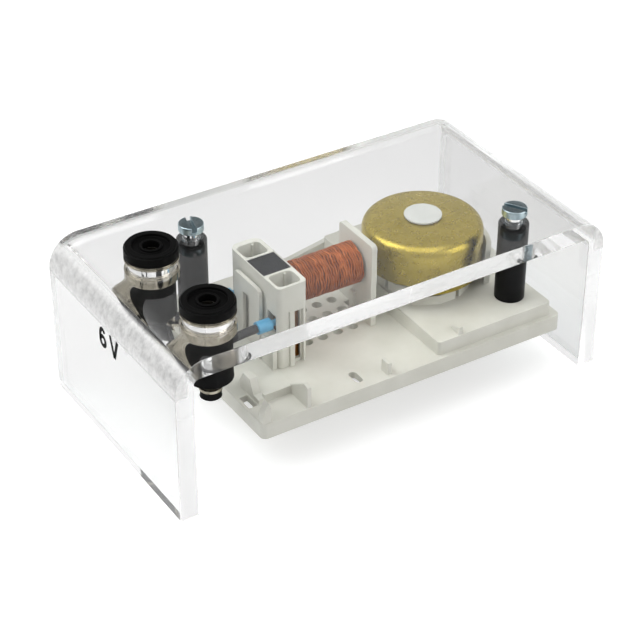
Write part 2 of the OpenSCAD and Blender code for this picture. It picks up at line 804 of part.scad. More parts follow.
// Half outline of the gong's outside or inside, standing on its rim
module cup_outline(r, h, corner, rise) {
    square([r - corner, h]);
    square([r, h - corner]);
    translate([r - corner, h - corner]) circle(corner);
    polygon([[0, h - 0.5], [r - corner, h - 0.5], [r - corner, h], [cap_d / 2, h + rise], [0, h + rise]]);
}

module gong() {
    color(brass)
    translate([gong_x, 0, gong_rim_z])
        rotate_extrude($fn = 96)
            intersection() {
                translate([stud_d / 2 + seat_gap, 0]) square([gong_r, gong_h + 5]);
                difference() {
                    cup_outline(gong_r, gong_h, shoulder_r, dome_h);
                    translate([0, -1])
                        cup_outline(gong_r - gong_t, gong_h + 1 - gong_t, shoulder_r - gong_t, dome_h);
                }
            }
}

module gong_cap() {
    color("white")
    translate([gong_x, 0, gong_top_z])
        difference() {
            cylinder(h = cap_t, d = cap_d);
            translate([0, 0, -1]) cylinder(h = 1 + stud_rise + seat_gap, d = stud_d + 2 * seat_gap);
        }
}

module gong_post() {
    color(bone)
    translate([gong_x, 0, 0]) {
        translate([0, 0, under_z]) cylinder(h = gong_top_z + stud_rise - under_z, d = stud_d);
        translate([0, 0, platform_z]) cylinder(h = gong_top_z - gong_t - platform_z, d = post_d);
    }
}

module spacers() {
    round_r = 0.8;
    color(black)
    at_screws()
        translate([0, 0, platform_z])
            rotate_extrude()
                intersection() {
                    translate([screw_d / 2 + hole_gap, 0]) square([spacer_d, spacer_l]);
                    union() {
                        square([spacer_d / 2 - round_r, spacer_l]);
                        square([spacer_d / 2, spacer_l - round_r]);
                        translate([spacer_d / 2 - round_r, spacer_l - round_r]) circle(round_r);
                    }
                }
}

// Slotted cheese head screw, its head standing on z = 0
module slotted_screw(length, turn) {
    edge = 0.4;
    difference() {
        union() {
            rotate_extrude() {
                square([head_d / 2 - edge, head_h]);
                square([head_d / 2, head_h - edge]);
                translate([head_d / 2 - edge, head_h - edge]) circle(edge);
            }
            translate([0, 0, -length]) cylinder(h = length + 0.5, d = screw_d);
        }
        rotate([0, 0, turn])
            translate([-head_d, -slot_w / 2, head_h - slot_depth]) cube([2 * head_d, slot_w, 2]);
    }
}

module cover_screws() {
    color(nickel) {
        translate([right_screw[0], right_screw[1], cover_h]) slotted_screw(cover_h - tip_z, -59);
        translate([left_screw[0], left_screw[1], cover_h]) slotted_screw(cover_h - tip_z, 77);
    }
}

module washers() {
    color(nickel)
    at_screws()
        translate([0, 0, under_z - washer_t])
            difference() {
                cylinder(h = washer_t, d = washer_d);
                translate([0, 0, -1]) cylinder(h = washer_t + 2, d = screw_d + 2 * hole_gap);
            }
}

module nuts() {
    color(nickel)
    at_screws()
        translate([0, 0, nut_z])
            difference() {
                cylinder(h = nut_h, d = nut_af / cos(30), $fn = 6);
                translate([0, 0, -1]) cylinder(h = nut_h + 2, d = screw_d);
            }
}

// Insulating cap with a sunken face and a raised collar round the plug bore
module socket_cap() {
    color(black)
    translate([0, 0, button_z])
        difference() {
            union() {
                difference() {
                    union() {
                        cylinder(h = button_t - 0.5, d = button_d);
                        cylinder(h = button_t, d = button_d - 0.8);
                    }
                    translate([0, 0, button_t - button_sink]) cylinder(h = 2, d = button_d - 2 * button_rim);
                }
                cylinder(h = button_t - 0.2, d = sleeve_d + 0.2);
            }
            translate([0, 0, -1]) cylinder(h = button_t + 2, d = plug_d + 0.4);
            translate([0, 0, -1]) cylinder(h = sleeve_mouth_z - button_z + 1, d = sleeve_d + 2 * seat_gap);
        }
}

// Turned bushing: a flange on top of the cover and a threaded tube through it
module socket_bushing() {
    color(nickel)
    difference() {
        union() {
            translate([0, 0, cover_h]) cylinder(h = bushing_t - 0.3, d = bushing_d);
            translate([0, 0, cover_h]) cylinder(h = bushing_t, d = bushing_d - 0.6);
            translate([0, 0, ring_nut_z]) cylinder(h = cover_h - ring_nut_z + eps, d = thread_d);
        }
        translate([0, 0, ring_nut_z - 1]) cylinder(h = cover_h, d = neck_d);
    }
}

module socket_nut() {
    color(nickel)
    translate([0, 0, ring_nut_z])
        difference() {
            union() {
                cylinder(h = ring_nut_h, d = ring_nut_d - 0.6);
                translate([0, 0, 0.4]) cylinder(h = ring_nut_h - 0.8, d = ring_nut_d);
            }
            translate([0, 0, -1]) cylinder(h = ring_nut_h + 2, d = thread_d);
        }
}

// Insulating body: a tube inside the bushing and a wider barrel below it
module socket_body() {
    edge = 0.4;
    color(black)
    difference() {
        union() {
            translate([0, 0, ring_nut_z - eps])
                cylinder(h = button_z - ring_nut_z + eps, d = neck_d - 2 * seat_gap);
            translate([0, 0, body_z + edge]) cylinder(h = body_l - edge, d = body_d);
            translate([0, 0, body_z]) cylinder(h = edge + eps, d1 = body_d - 2 * edge, d2 = body_d);
        }
        translate([0, 0, body_z - 1]) cylinder(h = cover_h, d = sleeve_d + 2 * seat_gap);
    }
}

// Contact sleeve with the plug bore, closed at its lower end
module socket_sleeve() {
    color(nickel)
    difference() {
        translate([0, 0, body_z]) cylinder(h = sleeve_mouth_z - body_z, d = sleeve_d);
        translate([0, 0, sleeve_mouth_z - plug_depth]) cylinder(h = plug_depth + 1, d = plug_d);
    }
}

// Stud below the sleeve, with a flat solder tag
module socket_tag(turn) {
    color(nickel) {
        translate([0, 0, tag_stud_z]) cylinder(h = tag_stud_l, d = tag_stud_d);
        translate([0, 0, tag_z])
            linear_extrude(tag_t)
                rotate(turn) {
                    circle(tag_w);
                    translate([0, -tag_w / 2]) square([tag_reach, tag_w]);
                }
    }
}

module socket_tail() {
    edge = 0.6;
    color(black)
    translate([0, 0, tail_z]) {
        translate([0, 0, edge]) cylinder(h = tail_l - edge, d = tail_d);
        cylinder(h = edge + eps, d1 = tail_d - 2 * edge, d2 = tail_d);
    }
}

module at_front() {
    translate([front_socket[0], front_socket[1], 0]) children();
}

module at_rear() {
    translate([rear_socket[0], rear_socket[1], 0]) children();
}

// Points of a lead between two ends, from its way; the height eases in and out
function route(start, end, way) =
    let (span = end - start, out = [-span[1], span[0], 0] / norm([span[0], span[1]]))
        [for (w = way)
            let (rise = w[0] * w[0] * (3 - 2 * w[0]))
                start + [w[0] * span[0], w[0] * span[1], rise * span[2]] + w[1] * out];

// Frame that follows a route: unit vector along it at point i, and one to its side
function along(path, i) =
    let (a = path[max(i - 1, 0)], b = path[min(i + 1, len(path) - 1)]) (b - a) / norm(b - a);
function side(t) = let (s = cross([0, 0, 1], t)) s / norm(s);

// Round lead swept along a route, eight-sided
module swept_lead(path, d) {
    sides = 8;
    count = len(path);
    points = [
        for (i = [0:count - 1])
            let (t = along(path, i), s = side(t), u = cross(t, s))
                for (k = [0:sides - 1])
                    path[i] + d / 2 * (cos(k * 45) * s + sin(k * 45) * u)
    ];
    walls = [
        for (i = [0:count - 2], k = [0:sides - 1])
            let (a = i * sides + k, b = i * sides + (k + 1) % sides)
                [a, a + sides, b + sides, b]
    ];
    start_face = [for (k = [0:sides - 1]) k];
    end_face = [for (k = [sides - 1:-1:0]) (count - 1) * sides + k];
    polyhedron(points, concat([start_face], walls, [end_face]), convexity = 4);
}

// Ferrule at the end of a lead, with a pin that reaches into the housing
module ferrule(x0, y) {
    color("#4a9fc4")
    translate([x0, y, ferrule_z]) rotate([0, 90, 0]) cylinder(h = ferrule_l, d = ferrule_d);
    color(nickel)
    translate([x0 + ferrule_l - eps, y, ferrule_z]) rotate([0, 90, 0])
        cylinder(h = ferrule_pin_x1 - x0 - ferrule_l, d = ferrule_pin_d);
}

module lead(start, end, way) {
    color("#3c3c40") swept_lead(route(start, end, way), lead_d);
}

acrylic_cover();
base_frame();
at_coil() contact_housing();
at_coil() contact_cover();
at_coil() pole_block();
at_coil() coil_bobbin();
at_coil() coil_winding();
at_coil() plunger_core();
at_coil() striker_pin();
at_coil() pusher_pin();
at_coil() return_spring();
at_coil() contact_spring();
at_coil() contact_rivet();
at_coil() fixed_contact();
at_coil() terminal_clips();
gong();
gong_cap();
gong_post();
spacers();
cover_screws();
washers();
nuts();
at_front() socket_cap();  // socket_cap_front
at_front() socket_bushing();  // socket_bushing_front
at_front() socket_nut();  // socket_nut_front
at_front() socket_body();  // socket_body_front
at_front() socket_sleeve();  // socket_sleeve_front
at_front() socket_tag(front_tag_turn);  // socket_tag_front
at_front() socket_tail();  // socket_tail_front
at_rear() socket_cap();  // socket_cap_rear
at_rear() socket_bushing();  // socket_bushing_rear
at_rear() socket_nut();  // socket_nut_rear
at_rear() socket_body();  // socket_body_rear
at_rear() socket_sleeve();  // socket_sleeve_rear
at_rear() socket_tag(rear_tag_turn);  // socket_tag_rear
at_rear() socket_tail();  // socket_tail_rear
lead(front_start, front_end, front_way);  // lead_front
lead(rear_start, rear_end, rear_way);  // lead_rear
ferrule(front_ferrule_x, coil_shift - lead_y);  // ferrule_front
ferrule(rear_ferrule_x, coil_shift + lead_y);  // ferrule_rear
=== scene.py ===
import math
import bpy
import bmesh
from mathutils import Matrix, Vector


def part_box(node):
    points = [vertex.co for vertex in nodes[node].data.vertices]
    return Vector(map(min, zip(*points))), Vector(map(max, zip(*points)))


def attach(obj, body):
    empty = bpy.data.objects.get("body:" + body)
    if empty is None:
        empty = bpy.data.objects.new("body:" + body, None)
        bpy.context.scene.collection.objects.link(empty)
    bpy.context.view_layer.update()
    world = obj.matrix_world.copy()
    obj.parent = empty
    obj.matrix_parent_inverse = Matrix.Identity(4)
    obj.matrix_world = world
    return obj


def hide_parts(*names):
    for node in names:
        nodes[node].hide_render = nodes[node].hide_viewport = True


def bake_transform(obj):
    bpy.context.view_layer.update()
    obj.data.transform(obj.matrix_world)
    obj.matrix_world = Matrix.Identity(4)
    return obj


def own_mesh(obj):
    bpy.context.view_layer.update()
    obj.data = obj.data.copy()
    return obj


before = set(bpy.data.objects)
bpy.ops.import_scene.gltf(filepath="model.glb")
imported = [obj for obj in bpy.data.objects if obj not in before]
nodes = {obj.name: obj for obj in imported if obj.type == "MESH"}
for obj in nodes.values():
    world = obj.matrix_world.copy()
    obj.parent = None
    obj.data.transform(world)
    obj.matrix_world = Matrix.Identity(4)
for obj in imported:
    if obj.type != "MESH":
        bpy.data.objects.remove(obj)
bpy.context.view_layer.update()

mm = 0.001
weldGap = 0.002 * mm  # corners of a solid that lie this close are one
turnedGap = 0.0005 * mm  # the same for a turned piece


def addObject(name, data):
    made = bpy.data.objects.new(name, data)
    bpy.context.scene.collection.objects.link(made)
    return made


# camera, solved from the straight edges of the clear cover
camera = {
    "azimuth": -32.33, "elevation": 34.39, "roll": 0.15,  # degrees
    "distance": 524.0 * mm,
    "target": (-2.10 * mm, 0.84 * mm, 17.14 * mm),
    "lens": 112.97, "sensor": 36,  # millimetres
    "nearest": 10 * mm,
}


def addCamera(c):
    azimuth, elevation, roll = (math.radians(c[key]) for key in ("azimuth", "elevation", "roll"))
    back = Vector((math.sin(azimuth) * math.cos(elevation), -math.cos(azimuth) * math.cos(elevation),
                   math.sin(elevation)))
    right = Vector((0, 0, 1)).cross(back).normalized()
    up = back.cross(right)
    turnedRight = right * math.cos(roll) + up * math.sin(roll)
    turnedUp = up * math.cos(roll) - right * math.sin(roll)
    data = bpy.data.cameras.new("camera")
    data.lens = c["lens"]
    data.sensor_width = c["sensor"]
    data.clip_start = c["nearest"]
    made = addObject("camera", data)
    turn = Matrix((turnedRight, turnedUp, back)).transposed().to_4x4()
    made.matrix_world = Matrix.Translation(Vector(c["target"]) + back * c["distance"]) @ turn
    bpy.context.scene.camera = made


addCamera(camera)
print("camera placed")


# nodes and colours
def fromHex(text):  # sRGB hex to the linear colour that a socket wants
    parts = [int(text[i:i + 2], 16) / 255 for i in (1, 3, 5)]
    return tuple(p / 12.92 if p <= 0.04045 else ((p + 0.055) / 1.055) ** 2.4 for p in parts) + (1.0,)


def addNode(tree, kind, links=None, stops=(), **settings):  # one node with its settings, values and links
    made = tree.nodes.new(kind)
    for key, value in settings.items():
        setattr(made, key, value)
    for socket, source in (links or {}).items():
        if isinstance(source, bpy.types.Node):  # a node stands for its first output
            source = source.outputs[0]
        if isinstance(source, bpy.types.NodeSocket):
            tree.links.new(source, made.inputs[socket])
        else:
            made.inputs[socket].default_value = source
    if stops:  # colours along a ramp
        elements = made.color_ramp.elements
        elements.remove(elements[-1])
        elements[0].position = stops[0][0]
        elements[0].color = fromHex(stops[0][1])
        for place, text in stops[1:]:
            elements.new(place).color = fromHex(text)
    return made


def newMaterial(name):
    material = bpy.data.materials.new(name)
    material.use_nodes = True
    tree = material.node_tree
    tree.nodes.clear()
    output = addNode(tree, "ShaderNodeOutputMaterial")
    return material, tree, output


def surfaceNoise(tree, size, detail=4.0, roughness=0.5, stretch=(1, 1, 1)):  # features about size metres wide
    place = addNode(tree, "ShaderNodeTexCoord").outputs["Object"]
    mapped = addNode(tree, "ShaderNodeMapping", {"Vector": place, "Scale": stretch})
    return addNode(tree, "ShaderNodeTexNoise",
                   {"Vector": mapped, "Scale": 1 / size, "Detail": detail, "Roughness": roughness})


# plastics: blotch is the size of slow colour change, grain that of the fine skin
# the real skin is finer than the render can show, so it is drawn coarser
plasticSkin = {
    "blotchDetail": 3, "darkAt": 0.3, "lightAt": 0.7,
    "patches": 3, "smoother": 0.06, "rougher": 0.08,  # roughness changes in patches, three to a blotch
    "grainDetail": 2, "relief": 0.12, "depth": 0.02 * mm, "ior": 1.53, "sheen": 0.5,
}


def makePlastic(name, p):
    s = plasticSkin
    material, tree, output = newMaterial(name)
    tint = addNode(tree, "ShaderNodeValToRGB", {"Fac": surfaceNoise(tree, p["blotch"], s["blotchDetail"])},
                   [(s["darkAt"], p["dark"]), (s["lightAt"], p["light"])])
    rough = addNode(tree, "ShaderNodeMapRange", {
        "Value": surfaceNoise(tree, p["blotch"] / s["patches"]),
        "To Min": p["roughness"] - s["smoother"], "To Max": p["roughness"] + s["rougher"]})
    bump = addNode(tree, "ShaderNodeBump", {
        "Height": surfaceNoise(tree, p["grain"], s["grainDetail"]), "Strength": s["relief"],
        "Distance": s["depth"]})
    shader = addNode(tree, "ShaderNodeBsdfPrincipled", {
        "Base Color": tint, "Roughness": rough, "Normal": bump, "IOR": s["ior"],
        "Specular IOR Level": p.get("sheen", s["sheen"])})
    tree.links.new(shader.outputs[0], output.inputs["Surface"])
    return material


# bone white ABS, injection moulded: a warm satin skin with soft unevenness from the mould
plasticBone = makePlastic("moulded_abs_bone", {
    "light": "#d8d7ce", "dark": "#cecdc3", "blotch": 9 * mm, "grain": 0.12 * mm, "roughness": 0.42})
# white moulded cap on the gong: cooler and duller than the bone white, so its top stays even
plasticWhite = makePlastic("moulded_cap_white", {
    "light": "#cfd0cc", "dark": "#c6c7c3", "blotch": 6 * mm, "grain": 0.12 * mm, "roughness": 0.5})
# black polyamide of the sockets: deep black and dull, with hardly a highlight
plasticBlack = makePlastic("polyamide_black", {
    "light": "#060606", "dark": "#030303", "blotch": 5 * mm, "grain": 0.15 * mm, "roughness": 0.55,
    "sheen": 0.1})
# hard black plastic of the spacer tubes: a faint sheen runs down each tube
tubeBlack = makePlastic("spacer_tube_black", {
    "light": "#0a0a0b", "dark": "#060607", "blotch": 4 * mm, "grain": 0.1 * mm, "roughness": 0.34,
    "sheen": 0.12})
# dark grey insulation of the leads, extruded: a wide soft highlight along its top
rubberDark = makePlastic("lead_insulation_grey", {
    "light": "#2b2b2e", "dark": "#222225", "blotch": 3 * mm, "grain": 0.2 * mm, "roughness": 0.5})
# blue moulded collar of the ferrules: one small clear spot of colour
ferruleBlue = makePlastic("ferrule_collar_blue", {
    "light": "#58a9d0", "dark": "#4a9ac4", "blotch": 2 * mm, "grain": 0.2 * mm, "roughness": 0.4})
# sintered iron, blackened all over, so it has no metal sheen: a flat dark grey square
ironBlock = makePlastic("sintered_iron_dark", {
    "light": "#15171c", "dark": "#111317", "blotch": 2 * mm, "grain": 0.1 * mm, "roughness": 0.5,
    "sheen": 0.15})
# printing ink of the label: matt, so it stays black on the shiny sheet
inkBlack = makePlastic("label_print_black", {
    "light": "#060606", "dark": "#030303", "blotch": 2 * mm, "grain": 0.2 * mm, "roughness": 0.6,
    "sheen": 0.1})


# cast acrylic sheet: clear, a little grey; the sawn ends are wavy and matt in streaks, the bends are crazed
acrylicSheet = {
    "ior": 1.49, "tint": "#f3f3f3", "matt": "#fafaf9", "shadow": "#f4f7f7",
    "halfLength": 63 * mm, "endFace": 32.9 * mm, "sawWave": 1.1 * mm, "waveDetail": 2, "waveDepth": 0.05 * mm,
    "rearMatt": [(0.0, "#202020"), (0.24, "#202020"), (0.27, "#f4f4f4"), (0.45, "#f4f4f4"),
                 (0.47, "#303030"), (0.7, "#303030"), (0.75, "#d0d0d0")],  # matt streaks along the rear end
    "rearHeight": (41.2 * mm, 42.2 * mm), "rearBottom": 39 * mm,
    "bendSide": (59.2 * mm, 60.2 * mm), "bendHeight": (35.4 * mm, 36.6 * mm),
    "craze": 2.2 * mm, "crackDetail": 5, "crackRoughness": 0.65, "crackRange": (0.35, 0.65),
    "crazeMatt": (0.55, 0.88),
    "roughness": (0.12, 0.25), "relief": (0.5, 0.2),  # at a sawn end, in a bend
}


def makeAcrylic(a):
    material, tree, output = newMaterial("cast_acrylic_clear")
    place = addNode(tree, "ShaderNodeTexCoord").outputs["Object"]
    parts = addNode(tree, "ShaderNodeSeparateXYZ", {0: place}).outputs
    outward = addNode(tree, "ShaderNodeMath", {0: parts["X"]}, operation="ABSOLUTE")
    deep = addNode(tree, "ShaderNodeMath", {0: parts["Y"]}, operation="ABSOLUTE")
    end = addNode(tree, "ShaderNodeMath", {0: deep, 1: a["endFace"]}, operation="GREATER_THAN")
    # top of the rear end: matt streaks along it, and matt all over below them
    back = addNode(tree, "ShaderNodeMath", {0: parts["Y"], 1: a["endFace"]}, operation="GREATER_THAN")
    high = addNode(tree, "ShaderNodeMath", {0: parts["Z"], 1: a["rearBottom"]}, operation="GREATER_THAN")
    rear = addNode(tree, "ShaderNodeMath", {0: back, 1: high}, operation="MULTIPLY")
    along = addNode(tree, "ShaderNodeMapRange", {
        "Value": parts["X"], "From Min": -a["halfLength"], "From Max": a["halfLength"]})
    streaks = addNode(tree, "ShaderNodeValToRGB", {"Fac": along}, a["rearMatt"])
    lower = addNode(tree, "ShaderNodeMapRange", {
        "Value": parts["Z"], "From Min": a["rearHeight"][1], "From Max": a["rearHeight"][0]})
    cloudy = addNode(tree, "ShaderNodeMath", {0: streaks, 1: lower}, operation="MAXIMUM")
    endMatt = addNode(tree, "ShaderNodeMath", {0: rear, 1: cloudy}, operation="MULTIPLY")
    # bends: fine cracks that scatter the light
    aside = addNode(tree, "ShaderNodeMapRange", {
        "Value": outward, "From Min": a["bendSide"][0], "From Max": a["bendSide"][1]})
    raised = addNode(tree, "ShaderNodeMapRange", {
        "Value": parts["Z"], "From Min": a["bendHeight"][0], "From Max": a["bendHeight"][1]})
    bend = addNode(tree, "ShaderNodeMath", {0: aside, 1: raised}, operation="MULTIPLY")
    cracks = addNode(tree, "ShaderNodeMapRange", {
        "Value": surfaceNoise(tree, a["craze"], a["crackDetail"], a["crackRoughness"]),
        "From Min": a["crackRange"][0], "From Max": a["crackRange"][1],
        "To Min": a["crazeMatt"][0], "To Max": a["crazeMatt"][1]})
    crazed = addNode(tree, "ShaderNodeMath", {0: bend, 1: cracks}, operation="MULTIPLY")
    wear = {}
    for key in ("roughness", "relief"):
        shares = [addNode(tree, "ShaderNodeMath", {0: zone, 1: amount}, operation="MULTIPLY")
                  for zone, amount in zip((end, bend), a[key])]
        wear[key] = addNode(tree, "ShaderNodeMath", {0: shares[0], 1: shares[1]}, operation="MAXIMUM")
    waves = addNode(tree, "ShaderNodeBump", {
        "Height": surfaceNoise(tree, a["sawWave"], a["waveDetail"]), "Strength": wear["relief"],
        "Distance": a["waveDepth"]})
    shader = addNode(tree, "ShaderNodeBsdfPrincipled", {
        "Base Color": fromHex(a["tint"]), "Roughness": wear["roughness"], "IOR": a["ior"],
        "Transmission Weight": 1.0, "Normal": waves})
    chalky = addNode(tree, "ShaderNodeBsdfDiffuse", {"Color": fromHex(a["matt"]), "Normal": waves})
    matt = addNode(tree, "ShaderNodeMath", {0: endMatt, 1: crazed}, operation="MAXIMUM")
    sheet = addNode(tree, "ShaderNodeMixShader", {0: matt, 1: shader, 2: chalky})
    # light reaches what stands below, as through real sheet
    shadow = addNode(tree, "ShaderNodeLightPath").outputs["Is Shadow Ray"]
    clear = addNode(tree, "ShaderNodeBsdfTransparent", {"Color": fromHex(a["shadow"])})
    mixed = addNode(tree, "ShaderNodeMixShader", {0: shadow, 1: sheet, 2: clear})
    tree.links.new(mixed.outputs[0], output.inputs["Surface"])
    return material


acrylicClear = makeAcrylic(acrylicSheet)


# metals keep the default IOR: patch is the size of slow colour change, streak that of the rougher marks
metalSkin = {
    "patchDetail": 5, "patchRoughness": 0.6, "darkAt": 0.35, "lightAt": 0.65,
    "spotDetail": 1.5, "spotStretch": (1, 1, 0.6), "spotEdge": 0.05,
    "streakDetail": 3, "streakRange": (0.3, 0.7), "relief": 0.05, "depth": 0.02 * mm,
}


def makeMetal(name, m):
    s = metalSkin
    material, tree, output = newMaterial(name)
    cloud = surfaceNoise(tree, m["patch"], s["patchDetail"], s["patchRoughness"])
    tint = addNode(tree, "ShaderNodeValToRGB", {"Fac": cloud},
                   [(s["darkAt"], m["dark"]), (s["lightAt"], m["light"])])
    if "spots" in m:  # small tarnish marks, where the noise is above this level
        marks = surfaceNoise(tree, m["spotSize"], s["spotDetail"], stretch=s["spotStretch"])
        reach = addNode(tree, "ShaderNodeValToRGB", {"Fac": marks},
                        [(m["spots"], "#000000"), (m["spots"] + s["spotEdge"], "#ffffff")])
        tint = addNode(tree, "ShaderNodeMix", {0: reach, 6: tint, 7: fromHex(m["spotColour"])},
                       data_type="RGBA").outputs[2]
    streak = surfaceNoise(tree, m["streak"], s["streakDetail"], stretch=m.get("stretch", (1, 1, 1)))
    rough = addNode(tree, "ShaderNodeMapRange", {
        "Value": streak, "From Min": s["streakRange"][0], "From Max": s["streakRange"][1],
        "To Min": m["smooth"], "To Max": m["rough"]})
    bump = addNode(tree, "ShaderNodeBump",
                   {"Height": streak, "Strength": s["relief"], "Distance": s["depth"]})
    shader = addNode(tree, "ShaderNodeBsdfPrincipled",
                     {"Base Color": tint, "Metallic": 1.0, "Roughness": rough, "Normal": bump})
    tree.links.new(shader.outputs[0], output.inputs["Surface"])
    return material


# nickel plate on turned brass: warm grey and bright, with turning marks as rings, drawn coarser than real
nickelPlate = makeMetal("nickel_plate_turned", {
    "light": "#b9b3a4", "dark": "#8c8678", "patch": 4 * mm, "streak": 0.25 * mm, "stretch": (0.05, 0.05, 1),
    "smooth": 0.08, "rough": 0.16})
# nickel of the plug sleeves: rougher than the plate, and its colour darkened with painted shade, as deep in a
# bore where little light comes
nickelBoreShade = makeMetal("nickel_dull_inside_bore", {
    "light": "#4c4a46", "dark": "#33322f", "patch": 4 * mm, "streak": 0.25 * mm, "smooth": 0.35,
    "rough": 0.5})
# zinc plated and blue passivated steel: pale and cool, half matt
zincPlate = makeMetal("zinc_plate_blue", {
    "light": "#bccbd0", "dark": "#9db0b7", "patch": 2 * mm, "streak": 0.4 * mm, "smooth": 0.26, "rough": 0.4})
# drawn brass, lightly tarnished: greenish yellow, with soft broad highlights and a few darker marks
gongBrass = makeMetal("brass_tarnished", {
    "light": "#b9a650", "dark": "#a99742", "patch": 6 * mm, "streak": 1.8 * mm, "smooth": 0.24, "rough": 0.34,
    "spots": 0.76, "spotSize": 2.6 * mm, "spotColour": "#94823f"})
# turned brass of the striker pin: cleaner and brighter than the gong
pinBrass = makeMetal("brass_turned", {
    "light": "#cdb169", "dark": "#bb9c50", "patch": 3 * mm, "streak": 0.2 * mm, "smooth": 0.15, "rough": 0.3})
# rolled bronze strip of the contacts and clips: redder than brass, smooth
springBronze = makeMetal("spring_bronze", {
    "light": "#a8773f", "dark": "#8a5e33", "patch": 3 * mm, "streak": 0.3 * mm, "smooth": 0.2, "rough": 0.35})
# turned soft iron of the plunger: mid grey with a dull sheen
softIron = makeMetal("soft_iron_turned", {
    "light": "#8f9194", "dark": "#77797c", "patch": 3 * mm, "streak": 0.2 * mm, "smooth": 0.3, "rough": 0.5})
# drawn steel wire: a lighter grey with a thin highlight on each turn
springSteel = makeMetal("spring_steel_wire", {
    "light": "#a9abae", "dark": "#8f9194", "patch": 2 * mm, "streak": 0.2 * mm, "smooth": 0.2, "rough": 0.35})
# silver of the rivet: nearly white and smooth
silverContact = makeMetal("silver_contact", {
    "light": "#dad8d2", "dark": "#c9c6bf", "patch": 1 * mm, "streak": 0.2 * mm, "smooth": 0.15, "rough": 0.3})


# enamelled copper wire: brown lacquer over copper, with painted shade that darkens it where the turns lie
# deep, in the gaps between them
copper = {
    "light": "#e38a50", "dark": "#bd6634", "gap": "#7a3e22", "darkAt": 0.35, "lightAt": 0.65,
    "patch": 1.6 * mm, "patchDetail": 4, "patchRoughness": 0.6, "deep": 0.6 * mm, "shallow": 0.1 * mm,
    "smooth": 0.42, "rough": 0.6, "roughPatch": 0.4 * mm,
}


def makeCopper(c):
    material, tree, output = newMaterial("enamelled_copper")
    low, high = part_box("coil_winding")
    axis = (low + high) / 2
    radius = (high.z - low.z) / 2
    place = addNode(tree, "ShaderNodeTexCoord").outputs["Object"]
    away = addNode(tree, "ShaderNodeVectorMath", {0: place, 1: axis}, operation="SUBTRACT")
    flat = addNode(tree, "ShaderNodeVectorMath", {0: away, 1: (0, 1, 1)}, operation="MULTIPLY")
    depth = addNode(tree, "ShaderNodeVectorMath", {0: flat}, operation="LENGTH").outputs["Value"]
    # painted shade: from the outer radius inwards, the wire colour runs into the dark gap colour
    outside = addNode(tree, "ShaderNodeMapRange", {
        "Value": depth, "From Min": radius - c["deep"], "From Max": radius - c["shallow"]})
    patches = addNode(tree, "ShaderNodeValToRGB",
                      {"Fac": surfaceNoise(tree, c["patch"], c["patchDetail"], c["patchRoughness"])},
                      [(c["darkAt"], c["dark"]), (c["lightAt"], c["light"])])
    # the gap colour here is painted shade in the grooves between the turns, not a colour of the wire
    tint = addNode(tree, "ShaderNodeMix", {0: outside, 6: fromHex(c["gap"]), 7: patches}, data_type="RGBA")
    rough = addNode(tree, "ShaderNodeMapRange", {
        "Value": surfaceNoise(tree, c["roughPatch"]), "To Min": c["smooth"], "To Max": c["rough"]})
    shader = addNode(tree, "ShaderNodeBsdfPrincipled",
                     {"Base Color": tint.outputs[2], "Metallic": 1.0, "Roughness": rough})
    tree.links.new(shader.outputs[0], output.inputs["Surface"])
    return material


copperWire = makeCopper(copper)
print("materials made")


# pieces
def axisOf(name, keep=lambda point: True):  # middle of a CAD node's chosen points
    points = [v.co for v in nodes[name].data.vertices if keep(v.co)]
    lows = [min(p[i] for p in points) for i in range(3)]
    highs = [max(p[i] for p in points) for i in range(3)]
    return Vector(lows).lerp(Vector(highs), 0.5)


def spacerAxis(sign):  # middle of the left spacer tube for -1, of the right one for 1
    return axisOf("spacers", lambda point: point.x * sign > 0)


def camel(name):
    first, *rest = name.split("_")
    return first + "".join(word.capitalize() for word in rest)


def addPiece(name, mesh, material, stands=(), body="root", *, slot):
    mesh.materials.clear()
    mesh.materials.append(material)
    piece = addObject(name, mesh)
    if body:
        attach(piece, body)
    if stands:
        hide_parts(*stands)
    return piece


def toMesh(work, name):  # the finished mesh; the working copy goes
    mesh = bpy.data.meshes.new(name)
    work.to_mesh(mesh)
    work.free()
    return mesh


def bake(source):  # the mesh with its modifiers applied; the source object goes
    bpy.context.view_layer.update()
    graph = bpy.context.evaluated_depsgraph_get()
    mesh = bpy.data.meshes.new_from_object(source.evaluated_get(graph))
    bpy.data.objects.remove(source)
    return mesh


def smoothByAngle(work, sharp):
    for face in work.faces:
        face.smooth = True
    for edge in work.edges:
        edge.smooth = edge.calc_face_angle(0) < math.radians(sharp)


facingAway = 0.5  # a corner normal with less than this along its face would shade black


def eased(mesh, width, segments=2, sharp=30):  # the same form with its sharp edges rounded off
    work = bmesh.new()
    work.from_mesh(mesh)
    bmesh.ops.remove_doubles(work, verts=work.verts, dist=weldGap)
    smoothByAngle(work, sharp)
    source = addObject("eased", toMesh(work, "eased"))
    bevel = source.modifiers.new("bevel", "BEVEL")
    bevel.width = width
    bevel.segments = segments
    bevel.limit_method = "ANGLE"
    bevel.angle_limit = math.radians(sharp)
    bevel.use_clamp_overlap = False
    bevel.loop_slide = False
    bevel.harden_normals = True
    done = bake(source)
    normals = [corner.vector.copy() for corner in done.corner_normals]
    for face in done.polygons:
        for corner in face.loop_indices:
            if normals[corner].dot(face.normal) < facingAway:
                normals[corner] = face.normal.copy()
    done.normals_split_custom_set(normals)
    return done


def lathe(outline, centre, sides=128, sharp=30):  # turns an outline of (radius, height) about a vertical axis
    work = bmesh.new()
    rings = []
    for k in range(sides):
        turn = 2 * math.pi * k / sides
        rings.append([work.verts.new((centre[0] + r * math.cos(turn), centre[1] + r * math.sin(turn), z))
                      for r, z in outline])
    count = len(outline)
    for k in range(sides):
        here, there = rings[k], rings[(k + 1) % sides]
        for i in range(count):
            j = (i + 1) % count
            work.faces.new((here[i], there[i], there[j], here[j]))
    bmesh.ops.remove_doubles(work, verts=work.verts, dist=turnedGap)
    bmesh.ops.recalc_face_normals(work, faces=work.faces)
    smoothByAngle(work, sharp)
    return toMesh(work, "turned")


